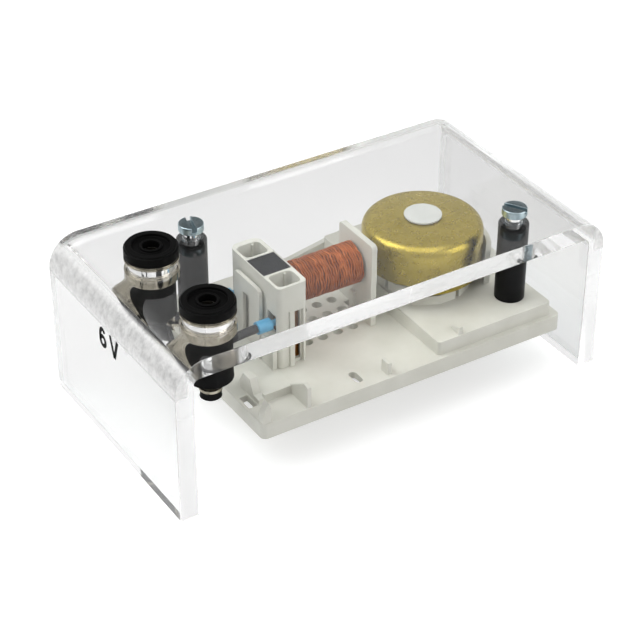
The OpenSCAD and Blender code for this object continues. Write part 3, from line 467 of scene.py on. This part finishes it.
def arc(centre, radius, start, end, steps):  # points of an arc, angles in degrees
    return [(centre[0] + radius * math.cos(math.radians(start + (end - start) * i / steps)),
             centre[1] + radius * math.sin(math.radians(start + (end - start) * i / steps)))
            for i in range(steps + 1)]


def joined(*meshes):
    work = bmesh.new()
    for mesh in meshes:
        work.from_mesh(mesh)
    return toMesh(work, "joined")


# a wound wire or a thread: turns about an axis along Z that starts at the origin
helixShape = {
    "inputs": [
        ("Turns", "Float"), ("Points", "Int"), ("Start Radius", "Float"), ("End Radius", "Float"),
        ("Length", "Float"), ("Wire Radius", "Float"), ("Wire Sides", "Int"), ("Wander", "Float"),
        ("Wander Size", "Float"), ("Lump", "Float"), ("Turned", "Vector"), ("Place", "Vector"),
        ("Core", "Bool"), ("Core Inset", "Float"), ("Finish", "Material"),
    ],
    "usual": {
        "Points": 48, "Wire Sides": 8, "Wander": 0.0, "Wander Size": 1 * mm, "Lump": 0.0, "Core": False,
        "Core Inset": 0.0, "Turned": (0, 0, 0),
    },
    "wanderDetail": 2.0, "wanderMiddle": 0.5,
    "lumpSize": 0.9 * mm, "lumpDetail": 3.0, "lumpMiddle": 0.65, "coreSides": 96,
}
alongX = (0, math.pi / 2, 0)


def helixTree(s):
    tree = bpy.data.node_groups.new("helix", "GeometryNodeTree")
    for label, kind in s["inputs"]:
        tree.interface.new_socket(name=label, in_out="INPUT", socket_type="NodeSocket" + kind)
    tree.interface.new_socket(name="Geometry", in_out="OUTPUT", socket_type="NodeSocketGeometry")
    given = addNode(tree, "NodeGroupInput").outputs
    spiral = addNode(tree, "GeometryNodeCurveSpiral", {
        "Resolution": given["Points"], "Rotations": given["Turns"], "Start Radius": given["Start Radius"],
        "End Radius": given["End Radius"], "Height": given["Length"]})
    place = addNode(tree, "GeometryNodeInputPosition")
    # wander shifts each turn along the axis, lump makes the pack thicker here and thinner there
    fine = addNode(tree, "ShaderNodeMath", {0: 1.0, 1: given["Wander Size"]}, operation="DIVIDE")
    noise = addNode(tree, "ShaderNodeTexNoise", {"Vector": place, "Scale": fine, "Detail": s["wanderDetail"]})
    centred = addNode(tree, "ShaderNodeMath", {0: noise, 1: s["wanderMiddle"]}, operation="SUBTRACT")
    shift = addNode(tree, "ShaderNodeMath", {0: centred, 1: given["Wander"]}, operation="MULTIPLY")
    along = addNode(tree, "ShaderNodeCombineXYZ", {"Z": shift})
    parts = addNode(tree, "ShaderNodeSeparateXYZ", {0: place}).outputs
    flat = addNode(tree, "ShaderNodeCombineXYZ", {"X": parts["X"], "Y": parts["Y"]})
    slow = addNode(tree, "ShaderNodeCombineXYZ", {"Z": parts["Z"]})
    coarse = addNode(tree, "ShaderNodeTexNoise",
                     {"Vector": slow, "Scale": 1 / s["lumpSize"], "Detail": s["lumpDetail"]})
    swell = addNode(tree, "ShaderNodeMath", {0: coarse, 1: s["lumpMiddle"]}, operation="SUBTRACT")
    growth = addNode(tree, "ShaderNodeMath", {0: swell, 1: given["Lump"]}, operation="MULTIPLY")
    outward = addNode(tree, "ShaderNodeVectorMath", {0: flat, "Scale": growth}, operation="SCALE")
    offset = addNode(tree, "ShaderNodeVectorMath", {0: along, 1: outward})
    moved = addNode(tree, "GeometryNodeSetPosition", {"Geometry": spiral, "Offset": offset})
    ring = addNode(tree, "GeometryNodeCurvePrimitiveCircle",
                   {"Resolution": given["Wire Sides"], "Radius": given["Wire Radius"]})
    wire = addNode(tree, "GeometryNodeCurveToMesh",
                   {"Curve": moved, "Profile Curve": ring, "Fill Caps": True})
    smooth = addNode(tree, "GeometryNodeSetShadeSmooth", {"Geometry": wire, "Shade Smooth": True})
    # solid core under the turns
    inside = [addNode(tree, "ShaderNodeMath", {0: given[label], 1: given["Core Inset"]}, operation="SUBTRACT")
              for label in ("Start Radius", "End Radius")]
    cone = addNode(tree, "GeometryNodeMeshCone", {
        "Vertices": s["coreSides"], "Radius Bottom": inside[0], "Radius Top": inside[1],
        "Depth": given["Length"]})
    core = addNode(tree, "GeometryNodeSetShadeSmooth", {"Geometry": cone, "Shade Smooth": True})
    bare = addNode(tree, "GeometryNodeSwitch", {"Switch": given["Core"], "True": core}, input_type="GEOMETRY")
    both = addNode(tree, "GeometryNodeJoinGeometry")
    for layer in (smooth, bare):
        tree.links.new(layer.outputs[0], both.inputs[0])
    turned = addNode(tree, "GeometryNodeTransform",
                     {"Geometry": both, "Translation": given["Place"], "Rotation": given["Turned"]})
    real = addNode(tree, "GeometryNodeRealizeInstances", {"Geometry": turned})
    dressed = addNode(tree, "GeometryNodeSetMaterial", {"Geometry": real, "Material": given["Finish"]})
    addNode(tree, "NodeGroupOutput", {"Geometry": dressed})
    return tree


helix = helixTree(helixShape)


def wound(h):  # one helix with its named inputs, as a plain mesh
    holder = addObject("holder", bpy.data.meshes.new("holder"))
    modifier = holder.modifiers.new("helix", "NODES")
    modifier.node_group = helix
    given = dict(helixShape["usual"], **h)
    for item in helix.interface.items_tree:
        if item.in_out == "INPUT":
            modifier[item.identifier] = given[item.name]
    return bake(holder)


# coil winding: an even layer below and a looser one on top, as wound by hand
winding = {
    "wire": 0.27 * mm, "points": 56, "taper": 0.2 * mm, "patch": 2.4 * mm,
    "endRoom": 1.6, "coreInset": 0.6,  # in wire radii, and so is depth
    "under": {"turns": 37.0, "depth": 2.6, "wander": 0.5 * mm, "lump": 0.0, "core": True},
    "over": {"turns": 31.0, "depth": 1.1, "wander": 2.0 * mm, "lump": 0.16, "core": False},
}


def addCoil(w):
    low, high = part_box("coil_winding")
    middle = (low + high) / 2
    endRadius = (high.z - low.z) / 2
    startRadius = endRadius - w["taper"]
    room = w["endRoom"] * w["wire"]
    layers = []
    for layer in (w["under"], w["over"]):
        inset = layer["depth"] * w["wire"]
        layers.append(wound({
            "Turns": layer["turns"], "Points": w["points"], "Start Radius": startRadius - inset,
            "End Radius": endRadius - inset, "Length": high.x - low.x - 2 * room, "Wire Radius": w["wire"],
            "Wander": layer["wander"], "Wander Size": w["patch"], "Lump": layer["lump"],
            "Core": layer["core"], "Core Inset": w["coreInset"] * w["wire"], "Turned": alongX,
            "Place": Vector((low.x + room, middle.y, middle.z)), "Finish": copperWire}))
    addPiece("coilWinding", joined(*layers), copperWire, ["coil_winding"], slot="copper_wire")


addCoil(winding)
print("coil wound")


# return spring: open turns between plunger and end plate, pressed together by the plunger
coilSpring = {"wire": 0.2 * mm, "turns": 5.0}


def addReturnSpring(s):
    low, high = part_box("return_spring")
    middle = (low + high) / 2
    meanRadius = (high.z - low.z) / 2 - s["wire"]
    mesh = wound({"Turns": s["turns"], "Start Radius": meanRadius, "End Radius": meanRadius,
                  "Length": high.x - low.x - 2 * s["wire"], "Wire Radius": s["wire"], "Turned": alongX,
                  "Place": Vector((low.x + s["wire"], middle.y, middle.z)), "Finish": springSteel})
    spring = addPiece("returnSpring", mesh, springSteel, ["return_spring"], slot="spring_steel")
    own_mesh(spring)


addReturnSpring(coilSpring)


# contact spring: a straight strip from its clamped foot to its top, cut into even levels, with its edges
# eased
contactStrip = {"steps": 40, "edge": 0.04 * mm, "belowRivet": 9 * mm}


def addContactSpring(s):
    low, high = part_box("contact_spring")
    rivet = axisOf("contact_rivet")
    work = bmesh.new()
    corners = [(low.x, low.y), (high.x, low.y), (high.x, high.y), (low.x, high.y)]
    levels = [low.z + (high.z - low.z) * k / s["steps"] for k in range(s["steps"] + 1)]
    rings = [[work.verts.new((x, y, z)) for x, y in corners] for z in levels]
    for here, there in zip(rings, rings[1:]):
        for i in range(len(corners)):
            j = (i + 1) % len(corners)
            work.faces.new((here[i], here[j], there[j], there[i]))
    work.faces.new(reversed(rings[0]))
    work.faces.new(rings[-1])
    mesh = eased(toMesh(work, "strip"), s["edge"], 1)
    strip = addPiece("contactSpring", mesh, springBronze, body=None, slot="bronze")
    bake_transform(strip)
    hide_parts("contact_spring")


addContactSpring(contactStrip)
print("springs made")


# clear cover: one bent sheet with fine round bends, drilled for the sockets and the screws
cover = {
    "sheet": 5 * mm, "insideRadius": 1.5 * mm, "outsideRadius": 8.5 * mm, "steps": 40,
    "edge": 0.12 * mm, "sharp": 35, "printRoom": 0.04 * mm,  # the label's ink stands in this room
    "socketHole": 6.15 * mm, "screwHole": 2.15 * mm, "holeSides": 96,
    "drillLength": 4,  # in sheet thicknesses
}


def addCover(c):
    low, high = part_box("acrylic_cover")
    t, inner, outer = c["sheet"], c["insideRadius"], c["outsideRadius"]
    left, right, top = low.x + c["printRoom"], high.x, high.z
    outline = [(right, low.z)] + arc((right - outer, top - outer), outer, 0, 90, c["steps"])
    outline += arc((left + outer, top - outer), outer, 90, 180, c["steps"])
    outline += [(left, low.z), (left + t, low.z)]
    outline += arc((left + t + inner, top - t - inner), inner, 180, 90, c["steps"] // 2)
    outline += arc((right - t - inner, top - t - inner), inner, 90, 0, c["steps"] // 2) + [(right - t, low.z)]
    work = bmesh.new()
    front = [work.verts.new((x, low.y, z)) for x, z in outline]
    back = [work.verts.new((x, high.y, z)) for x, z in outline]
    work.faces.new(front)
    work.faces.new(reversed(back))
    for i in range(len(outline)):
        j = (i + 1) % len(outline)
        work.faces.new((front[j], front[i], back[i], back[j]))
    bmesh.ops.recalc_face_normals(work, faces=work.faces)
    sheet = addObject("cover", toMesh(work, "cover"))
    holes = [(axisOf("socket_nut_" + side), c["socketHole"]) for side in ("front", "rear")]
    holes += [(spacerAxis(sign), c["screwHole"]) for sign in (-1, 1)]
    drills = []
    for centre, radius in holes:
        bpy.ops.mesh.primitive_cylinder_add(vertices=c["holeSides"], radius=radius,
                                            depth=c["drillLength"] * t, location=(centre.x, centre.y, top))
        drill = bpy.context.object
        cut = sheet.modifiers.new("hole", "BOOLEAN")
        cut.operation = "DIFFERENCE"
        cut.solver = "EXACT"
        cut.object = drill
        drills.append(drill)
    drilled = bake(sheet)
    for drill in drills:
        bpy.data.objects.remove(drill)
    mesh = eased(drilled, c["edge"], sharp=c["sharp"])
    addPiece("clearCover", mesh, acrylicClear, ["acrylic_cover"], slot="clear_acrylic")


addCover(cover)
print("cover bent and drilled")


# gong: drawn cup whose shoulder runs into a shallow dome without a crease
gong = {
    "wall": 0.8 * mm, "shoulder": 3.0 * mm, "rise": 0.9 * mm, "hole": 1.55 * mm, "lip": 0.25 * mm,
    "rimEdge": 0.2 * mm, "shoulderSteps": 20, "domeSteps": 14, "sides": 160, "sharp": 40,
}


def addGong(g):
    low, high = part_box("gong")
    radius = (high.x - low.x) / 2
    corner = high.z - g["rise"] - g["shoulder"]
    flat = radius - g["shoulder"]
    drop = g["rise"] + g["shoulder"]
    dome = (flat ** 2 + drop ** 2 - g["shoulder"] ** 2) / (2 * (drop - g["shoulder"]))
    lean = math.degrees(math.asin(flat / (dome - g["shoulder"])))
    middleZ = high.z - dome

    def skin(inset, bottom):  # from the rim up over the shoulder to the middle
        points = arc((flat, corner), g["shoulder"] - inset, 0, 90 - lean, g["shoulderSteps"])
        edge = math.degrees(math.asin(g["hole"] / (dome - inset)))
        points += arc((0, middleZ), dome - inset, 90 - lean, 90 - edge, g["domeSteps"])[1:]
        return [(radius - inset, bottom)] + points

    outside = skin(0, low.z + g["lip"])
    inside = skin(g["wall"], low.z + g["lip"])
    rim = [(radius - g["wall"] + g["rimEdge"], low.z), (radius - g["rimEdge"], low.z)]
    mesh = lathe(rim + outside + list(reversed(inside)), (low + high) / 2, g["sides"], g["sharp"])
    addPiece("gongCup", mesh, gongBrass, ["gong"], slot="gong_brass")


addGong(gong)
print("gong drawn")


def above(name, height):  # the part of a solid above a level, closed underneath
    work = bmesh.new()
    work.from_mesh(nodes[name].data)
    bmesh.ops.remove_doubles(work, verts=work.verts, dist=weldGap)
    cut = bmesh.ops.bisect_plane(work, geom=work.verts[:] + work.edges[:] + work.faces[:],
                                 plane_co=(0, 0, height), plane_no=(0, 0, 1), clear_inner=True)
    rims = [e for e in cut["geom_cut"] if isinstance(e, bmesh.types.BMEdge)]
    bmesh.ops.holes_fill(work, edges=rims)
    return toMesh(work, "head")


# screws: the head keeps the solid's slot, the shank gets its thread
screw = {
    "radius": 2.0 * mm, "pitch": 0.7 * mm, "depth": 0.42 * mm, "points": 40, "ridgeSides": 6,
    "coreInset": 0.2,  # of the thread's depth
    "intoHead": 0.3 * mm, "edge": 0.12 * mm,
}
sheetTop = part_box("acrylic_cover")[1].z


def addScrews(s):
    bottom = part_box("cover_screws")[0].z
    top = sheetTop + s["intoHead"]
    ridge = s["depth"] / 2
    shanks = []
    for sign in (-1, 1):
        centre = spacerAxis(sign)
        shanks.append(wound({
            "Turns": (top - bottom) / s["pitch"], "Points": s["points"], "Start Radius": s["radius"] - ridge,
            "End Radius": s["radius"] - ridge, "Length": top - bottom, "Wire Radius": ridge,
            "Wire Sides": s["ridgeSides"], "Core": True, "Core Inset": s["coreInset"] * s["depth"],
            "Place": Vector((centre.x, centre.y, bottom)), "Finish": zincPlate}))
    heads = eased(above("cover_screws", sheetTop), s["edge"])
    addPiece("coverScrews", joined(heads, *shanks), zincPlate, ["cover_screws"], slot="zinc_plate")


addScrews(screw)


# socket bushings: turned flange on the sheet, fine thread below it
bushing = {
    "radius": 6.0 * mm, "bore": 4.5 * mm, "pitch": 0.75 * mm, "depth": 0.4 * mm, "points": 96,
    "ridgeSides": 6, "intoFlange": 0.1 * mm, "edge": 0.1 * mm, "edgeSegments": 3,
}


def addBushing(side, b):
    name = "socket_bushing_" + side
    low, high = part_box(name)
    centre = (low + high) / 2
    wall = b["radius"] - b["depth"]
    top = sheetTop + b["intoFlange"]
    ridge = b["depth"] / 2
    tube = lathe([(b["bore"], low.z), (wall, low.z), (wall, top), (b["bore"], top)], centre)
    thread = wound({
        "Turns": (sheetTop - low.z) / b["pitch"], "Points": b["points"], "Start Radius": b["radius"] - ridge,
        "End Radius": b["radius"] - ridge, "Length": sheetTop - low.z - b["depth"], "Wire Radius": ridge,
        "Wire Sides": b["ridgeSides"], "Place": Vector((centre.x, centre.y, low.z + ridge)),
        "Finish": nickelPlate})
    flange = eased(above(name, sheetTop), b["edge"], b["edgeSegments"])
    addPiece(camel(name), joined(flange, tube, thread), nickelPlate, [name], slot="nickel_plate")


for side in ("front", "rear"):
    addBushing(side, bushing)
print("threads cut")


# leads: the same way as the solids take, with round, smooth insulation
# turn is where the solder tag points, in degrees; way is (share of the distance, bow to the side in mm)
lead = {
    "radius": 1.15 * mm, "skinGap": 0.02 * mm,  # thinner than the solid by this much
    "reach": 5.2 * mm, "lift": 1.2 * mm, "roundness": 10, "smoothness": 12,
    "tag": 0.8 * mm, "tagStep": 0.3 * mm,  # the tag's thickness, and its height over the end of its stud
    "front": {"turn": 80, "way": [(0, 0), (0.05, 0.9), (0.15, 1.45), (0.28, 1.65), (0.44, 1.5),
                                  (0.61, 1.15), (0.77, 0.7), (0.9, 0.3), (1, 0)]},
    "rear": {"turn": -35, "way": [(0, 0), (0.1, -0.5), (0.22, -0.75), (0.36, -0.75), (0.5, -0.6),
                                  (0.64, -0.4), (0.78, -0.2), (0.9, -0.05), (1, 0)]},
}


def leadPoints(side, k):
    socket = axisOf("socket_tail_" + side)
    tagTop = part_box("socket_tag_" + side)[0].z + k["tagStep"] + k["tag"]
    turn = math.radians(k[side]["turn"])
    start = Vector((socket.x + k["reach"] * math.cos(turn), socket.y + k["reach"] * math.sin(turn),
                    tagTop + k["lift"]))
    low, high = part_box("ferrule_" + side)
    end = Vector((low.x, (low.y + high.y) / 2, (low.z + high.z) / 2))
    span = end - start
    out = Vector((-span.y, span.x, 0)).normalized()
    points = []
    for share, bow in k[side]["way"]:
        rise = share * share * (3 - 2 * share)  # level at both ends
        points.append(start + Vector((share * span.x, share * span.y, rise * span.z)) + out * (bow * mm))
    return points


def addLead(side, k):
    curve = bpy.data.curves.new("lead", "CURVE")
    curve.dimensions = "3D"
    curve.bevel_depth = k["radius"] - k["skinGap"]
    curve.bevel_resolution = k["roundness"]
    curve.use_fill_caps = True
    curve.resolution_u = k["smoothness"]
    points = leadPoints(side, k)
    line = curve.splines.new("BEZIER")
    line.bezier_points.add(len(points) - 1)
    for knot, point in zip(line.bezier_points, points):
        knot.co = point
        knot.handle_left_type = knot.handle_right_type = "AUTO"
    name = "lead_" + side
    piece = addPiece(camel(name), bake(addObject("lead", curve)), rubberDark, [name], slot="lead_rubber")
    for face in piece.data.polygons:
        face.use_smooth = True


for side in ("front", "rear"):
    addLead(side, lead)
print("leads laid")


# moulded and turned pieces keep the solid's form, with their edges eased by the width given here
easedPieces = {
    "base_frame": (plasticBone, 0.12 * mm, "moulded_abs"),
    "contact_housing": (plasticBone, 0.12 * mm, "moulded_abs"),
    "contact_cover": (plasticBone, 0.18 * mm, "moulded_abs"),
    "coil_bobbin": (plasticBone, 0.2 * mm, "moulded_abs"),
    "gong_post": (plasticBone, 0.1 * mm, "moulded_abs"),
    "gong_cap": (plasticWhite, 0.1 * mm, "white_plastic"),
    "pole_block": (ironBlock, 0.08 * mm, "iron"),
    "spacers": (tubeBlack, 0.1 * mm, "black_plastic"),
    "washers": (zincPlate, 0.06 * mm, "zinc_plate"),
    "nuts": (zincPlate, 0.25 * mm, "zinc_plate"),
    "fixed_contact": (springBronze, 0.06 * mm, "bronze"),
    "terminal_clips": (springBronze, 0.05 * mm, "bronze"),
}
for side in ("front", "rear"):
    easedPieces.update({
        "socket_cap_" + side: (plasticBlack, 0.22 * mm, "black_plastic"),
        "socket_nut_" + side: (nickelPlate, 0.12 * mm, "nickel_plate"),
        "socket_body_" + side: (plasticBlack, 0.08 * mm, "black_plastic"),
        # the sleeves take the nickel whose dark colour is painted shade of the bore
        "socket_sleeve_" + side: (nickelBoreShade, 0.05 * mm, "nickel_plate"),
        "socket_tag_" + side: (nickelPlate, 0.08 * mm, "nickel_plate"),
        "socket_tail_" + side: (plasticBlack, 0.12 * mm, "black_plastic"),
        "ferrule_" + side: (ferruleBlue, 0.15 * mm, "ferrule_blue"),
    })

for name, (material, width, slotName) in easedPieces.items():
    addPiece(camel(name), eased(nodes[name].data, width), material, [name], slot=slotName)
print("edges eased")


# label on the left leg: plain strokes, printed on the sheet
labelText = {
    "height": 6.0 * mm, "stroke": 1.15 * mm, "bottom": 29.4 * mm, "thick": 0.03 * mm,
    "six": 3.85 * mm, "halfWide": 1.3 * mm, "bowlSteps": 40,
    "bowlHalf": 0.32,  # half the bowl's height, as a share of the label's
    "stemFrom": -25, "stemTo": 140, "stemSteps": 24,  # degrees
    "veeFoot": -2.1 * mm, "veeTops": (0.35 * mm, -4.6 * mm), "footRise": 0.15,  # of the stroke
}


def ribbon(work, points, width, x, closed=False):  # flat band along points of (y, z)
    sides = []
    last = len(points) - 1
    for i, (y, z) in enumerate(points):
        before = points[i - 1] if closed else points[max(i - 1, 0)]
        after = points[(i + 1) % (last + 1)] if closed else points[min(i + 1, last)]
        way = Vector((after[0] - before[0], after[1] - before[1])).normalized()
        out = Vector((-way.y, way.x)) * (width / 2)
        sides.append([work.verts.new((x, y + out.x, z + out.y)), work.verts.new((x, y - out.x, z - out.y))])
    pairs = list(zip(sides, sides[1:]))
    if closed:
        pairs.append((sides[-1], sides[0]))
    for here, there in pairs:
        work.faces.new((here[0], here[1], there[1], there[0]))


def addLabel(t):
    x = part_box("acrylic_cover")[0].x + t["thick"]
    h, w = t["height"], t["stroke"]
    work = bmesh.new()
    # six: a bowl, and a stem that runs up its left side and over to the right
    bowl = arc((0, 0), 1, 0, 360, t["bowlSteps"])[:-1]
    stem = arc((0, 0), 1, t["stemFrom"], t["stemTo"], t["stemSteps"])
    bowlMiddle = t["bowlHalf"] * h
    for shape, middle, high, closed in ((bowl, bowlMiddle, bowlMiddle - w / 2, True),
                                        (stem, h / 2, (h - w) / 2, False)):
        points = [(t["six"] + y * t["halfWide"], t["bottom"] + middle + z * high) for y, z in shape]
        ribbon(work, points, w, x, closed)
    # capital letter vee
    foot = (t["veeFoot"], t["bottom"] + t["footRise"] * w)
    for top in (t["veeTops"][0] - w / 2, t["veeTops"][1] + w / 2):
        ribbon(work, [(top, t["bottom"] + h), foot], w, x)
    for face in work.faces:
        if face.normal.x > 0:
            face.normal_flip()
    holder = addObject("label", toMesh(work, "label"))
    thick = holder.modifiers.new("thick", "SOLIDIFY")
    thick.thickness = t["thick"]
    thick.offset = -1
    addPiece("labelPrint", bake(holder), inkBlack, slot="black_plastic")


addLabel(labelText)
print("label printed")

# solids that are still shown: plunger, pins and rivet
finishes = {"plunger_core": softIron, "striker_pin": pinBrass, "pusher_pin": plasticBone,
            "contact_rivet": silverContact}
for name, cadNode in nodes.items():
    cadNode.data.materials.clear()
    cadNode.data.materials.append(finishes.get(name, plasticBone))
print("solids dressed")


# floor, world and lamps
studio = {
    "floorSize": 3.0, "floorDrop": 0.02 * mm, "floorColour": "#e4e4e4",
    "floorLift": 0.5, "floorBehindGlass": 0.325,  # the floor's own light, in the open and through the sheet
    "fadeOut": (0.2, 0.6),  # it runs to white between these distances
    "horizon": 0.7, "overhead": 0.1, "below": 0.5,  # how bright the room is
    "fadeFrom": 0.25, "fadeTo": 0.5,  # it dims between these heights of a ray that looks up
    "aim": (0, 0, 0.02),  # the lamps point here
    "lamps": {
        "key": {"place": (-0.35, 0.25, 0.6), "size": 0.4, "power": 2.2},
        "fill": {"place": (0.45, -0.6, 0.35), "size": 0.5, "power": 2.0},
        "overhead": {"place": (-0.1, -0.15, 0.8), "size": 0.7, "power": 2.2},
    },
    "bounces": 32, "glossyBounces": 16, "clearBounces": 24,
}


# white paper: matt, with a light of its own that lets it run out to white
def addFloor(s):
    bpy.ops.mesh.primitive_plane_add(size=s["floorSize"], location=(0, 0, -s["floorDrop"]))
    floor = bpy.context.object
    floor.name = "floor"
    material, tree, output = newMaterial("floor_paper_white")
    path = addNode(tree, "ShaderNodeLightPath").outputs
    through = addNode(tree, "ShaderNodeMath", {0: path["Is Glossy Ray"], 1: path["Is Transmission Ray"]},
                      operation="MAXIMUM")
    dimmed = addNode(tree, "ShaderNodeMath", {0: through, 1: s["floorBehindGlass"]}, operation="MULTIPLY")
    place = addNode(tree, "ShaderNodeTexCoord").outputs["Object"]
    away = addNode(tree, "ShaderNodeVectorMath", {0: place}, operation="LENGTH").outputs["Value"]
    whiter = addNode(tree, "ShaderNodeMapRange", {
        "Value": away, "From Min": s["fadeOut"][0], "From Max": s["fadeOut"][1],
        "To Min": s["floorLift"], "To Max": 1.0})
    shown = addNode(tree, "ShaderNodeMath", {0: path["Is Camera Ray"], 1: whiter}, operation="MULTIPLY")
    lift = addNode(tree, "ShaderNodeMath", {0: shown, 1: dimmed}, operation="MAXIMUM")
    matte = addNode(tree, "ShaderNodeBsdfDiffuse", {"Color": fromHex(s["floorColour"])})
    glow = addNode(tree, "ShaderNodeEmission", {"Color": (1, 1, 1, 1), "Strength": lift})
    both = addNode(tree, "ShaderNodeAddShader", {0: matte, 1: glow})
    tree.links.new(both.outputs[0], output.inputs["Surface"])
    floor.data.materials.append(material)


# pale round the horizon and dimmer overhead, as in a room; white where the camera looks past the object
def addWorld(s):
    world = bpy.data.worlds.new("studio")
    bpy.context.scene.world = world
    world.use_nodes = True
    tree = world.node_tree
    tree.nodes.clear()
    way = addNode(tree, "ShaderNodeTexCoord").outputs["Generated"]
    height = addNode(tree, "ShaderNodeSeparateXYZ", {0: way}).outputs["Z"]
    sky = addNode(tree, "ShaderNodeMapRange", {
        "Value": height, "From Min": s["fadeFrom"], "From Max": s["fadeTo"],
        "To Min": s["horizon"], "To Max": s["overhead"]})
    under = addNode(tree, "ShaderNodeMath", {0: height, 1: 0.0}, operation="LESS_THAN")
    level = addNode(tree, "ShaderNodeMix", {0: under, 2: sky, 3: s["below"]})
    path = addNode(tree, "ShaderNodeLightPath").outputs
    seen = addNode(tree, "ShaderNodeMath", {0: path["Is Camera Ray"], 1: path["Is Transmission Ray"]},
                   operation="MAXIMUM")
    light = addNode(tree, "ShaderNodeBackground", {"Color": (1, 1, 1, 1), "Strength": level})
    white = addNode(tree, "ShaderNodeBackground", {"Color": (1, 1, 1, 1), "Strength": 1.0})
    mixed = addNode(tree, "ShaderNodeMixShader", {0: seen, 1: light, 2: white})
    addNode(tree, "ShaderNodeOutputWorld", {"Surface": mixed})


def addLamps(s):
    for name, lamp in s["lamps"].items():
        data = bpy.data.lights.new(name, "AREA")
        data.size = lamp["size"]
        data.energy = lamp["power"]
        made = addObject(name, data)
        made.location = lamp["place"]
        made.rotation_euler = (Vector(s["aim"]) - made.location).to_track_quat("-Z", "Y").to_euler()


addFloor(studio)
addWorld(studio)
addLamps(studio)
scene = bpy.context.scene
scene.view_settings.view_transform = "Standard"
# light bounces many times inside the clear sheet before it leaves
scene.cycles.max_bounces = studio["bounces"]
scene.cycles.glossy_bounces = studio["glossyBounces"]
scene.cycles.transmission_bounces = studio["clearBounces"]
print("stage lit")
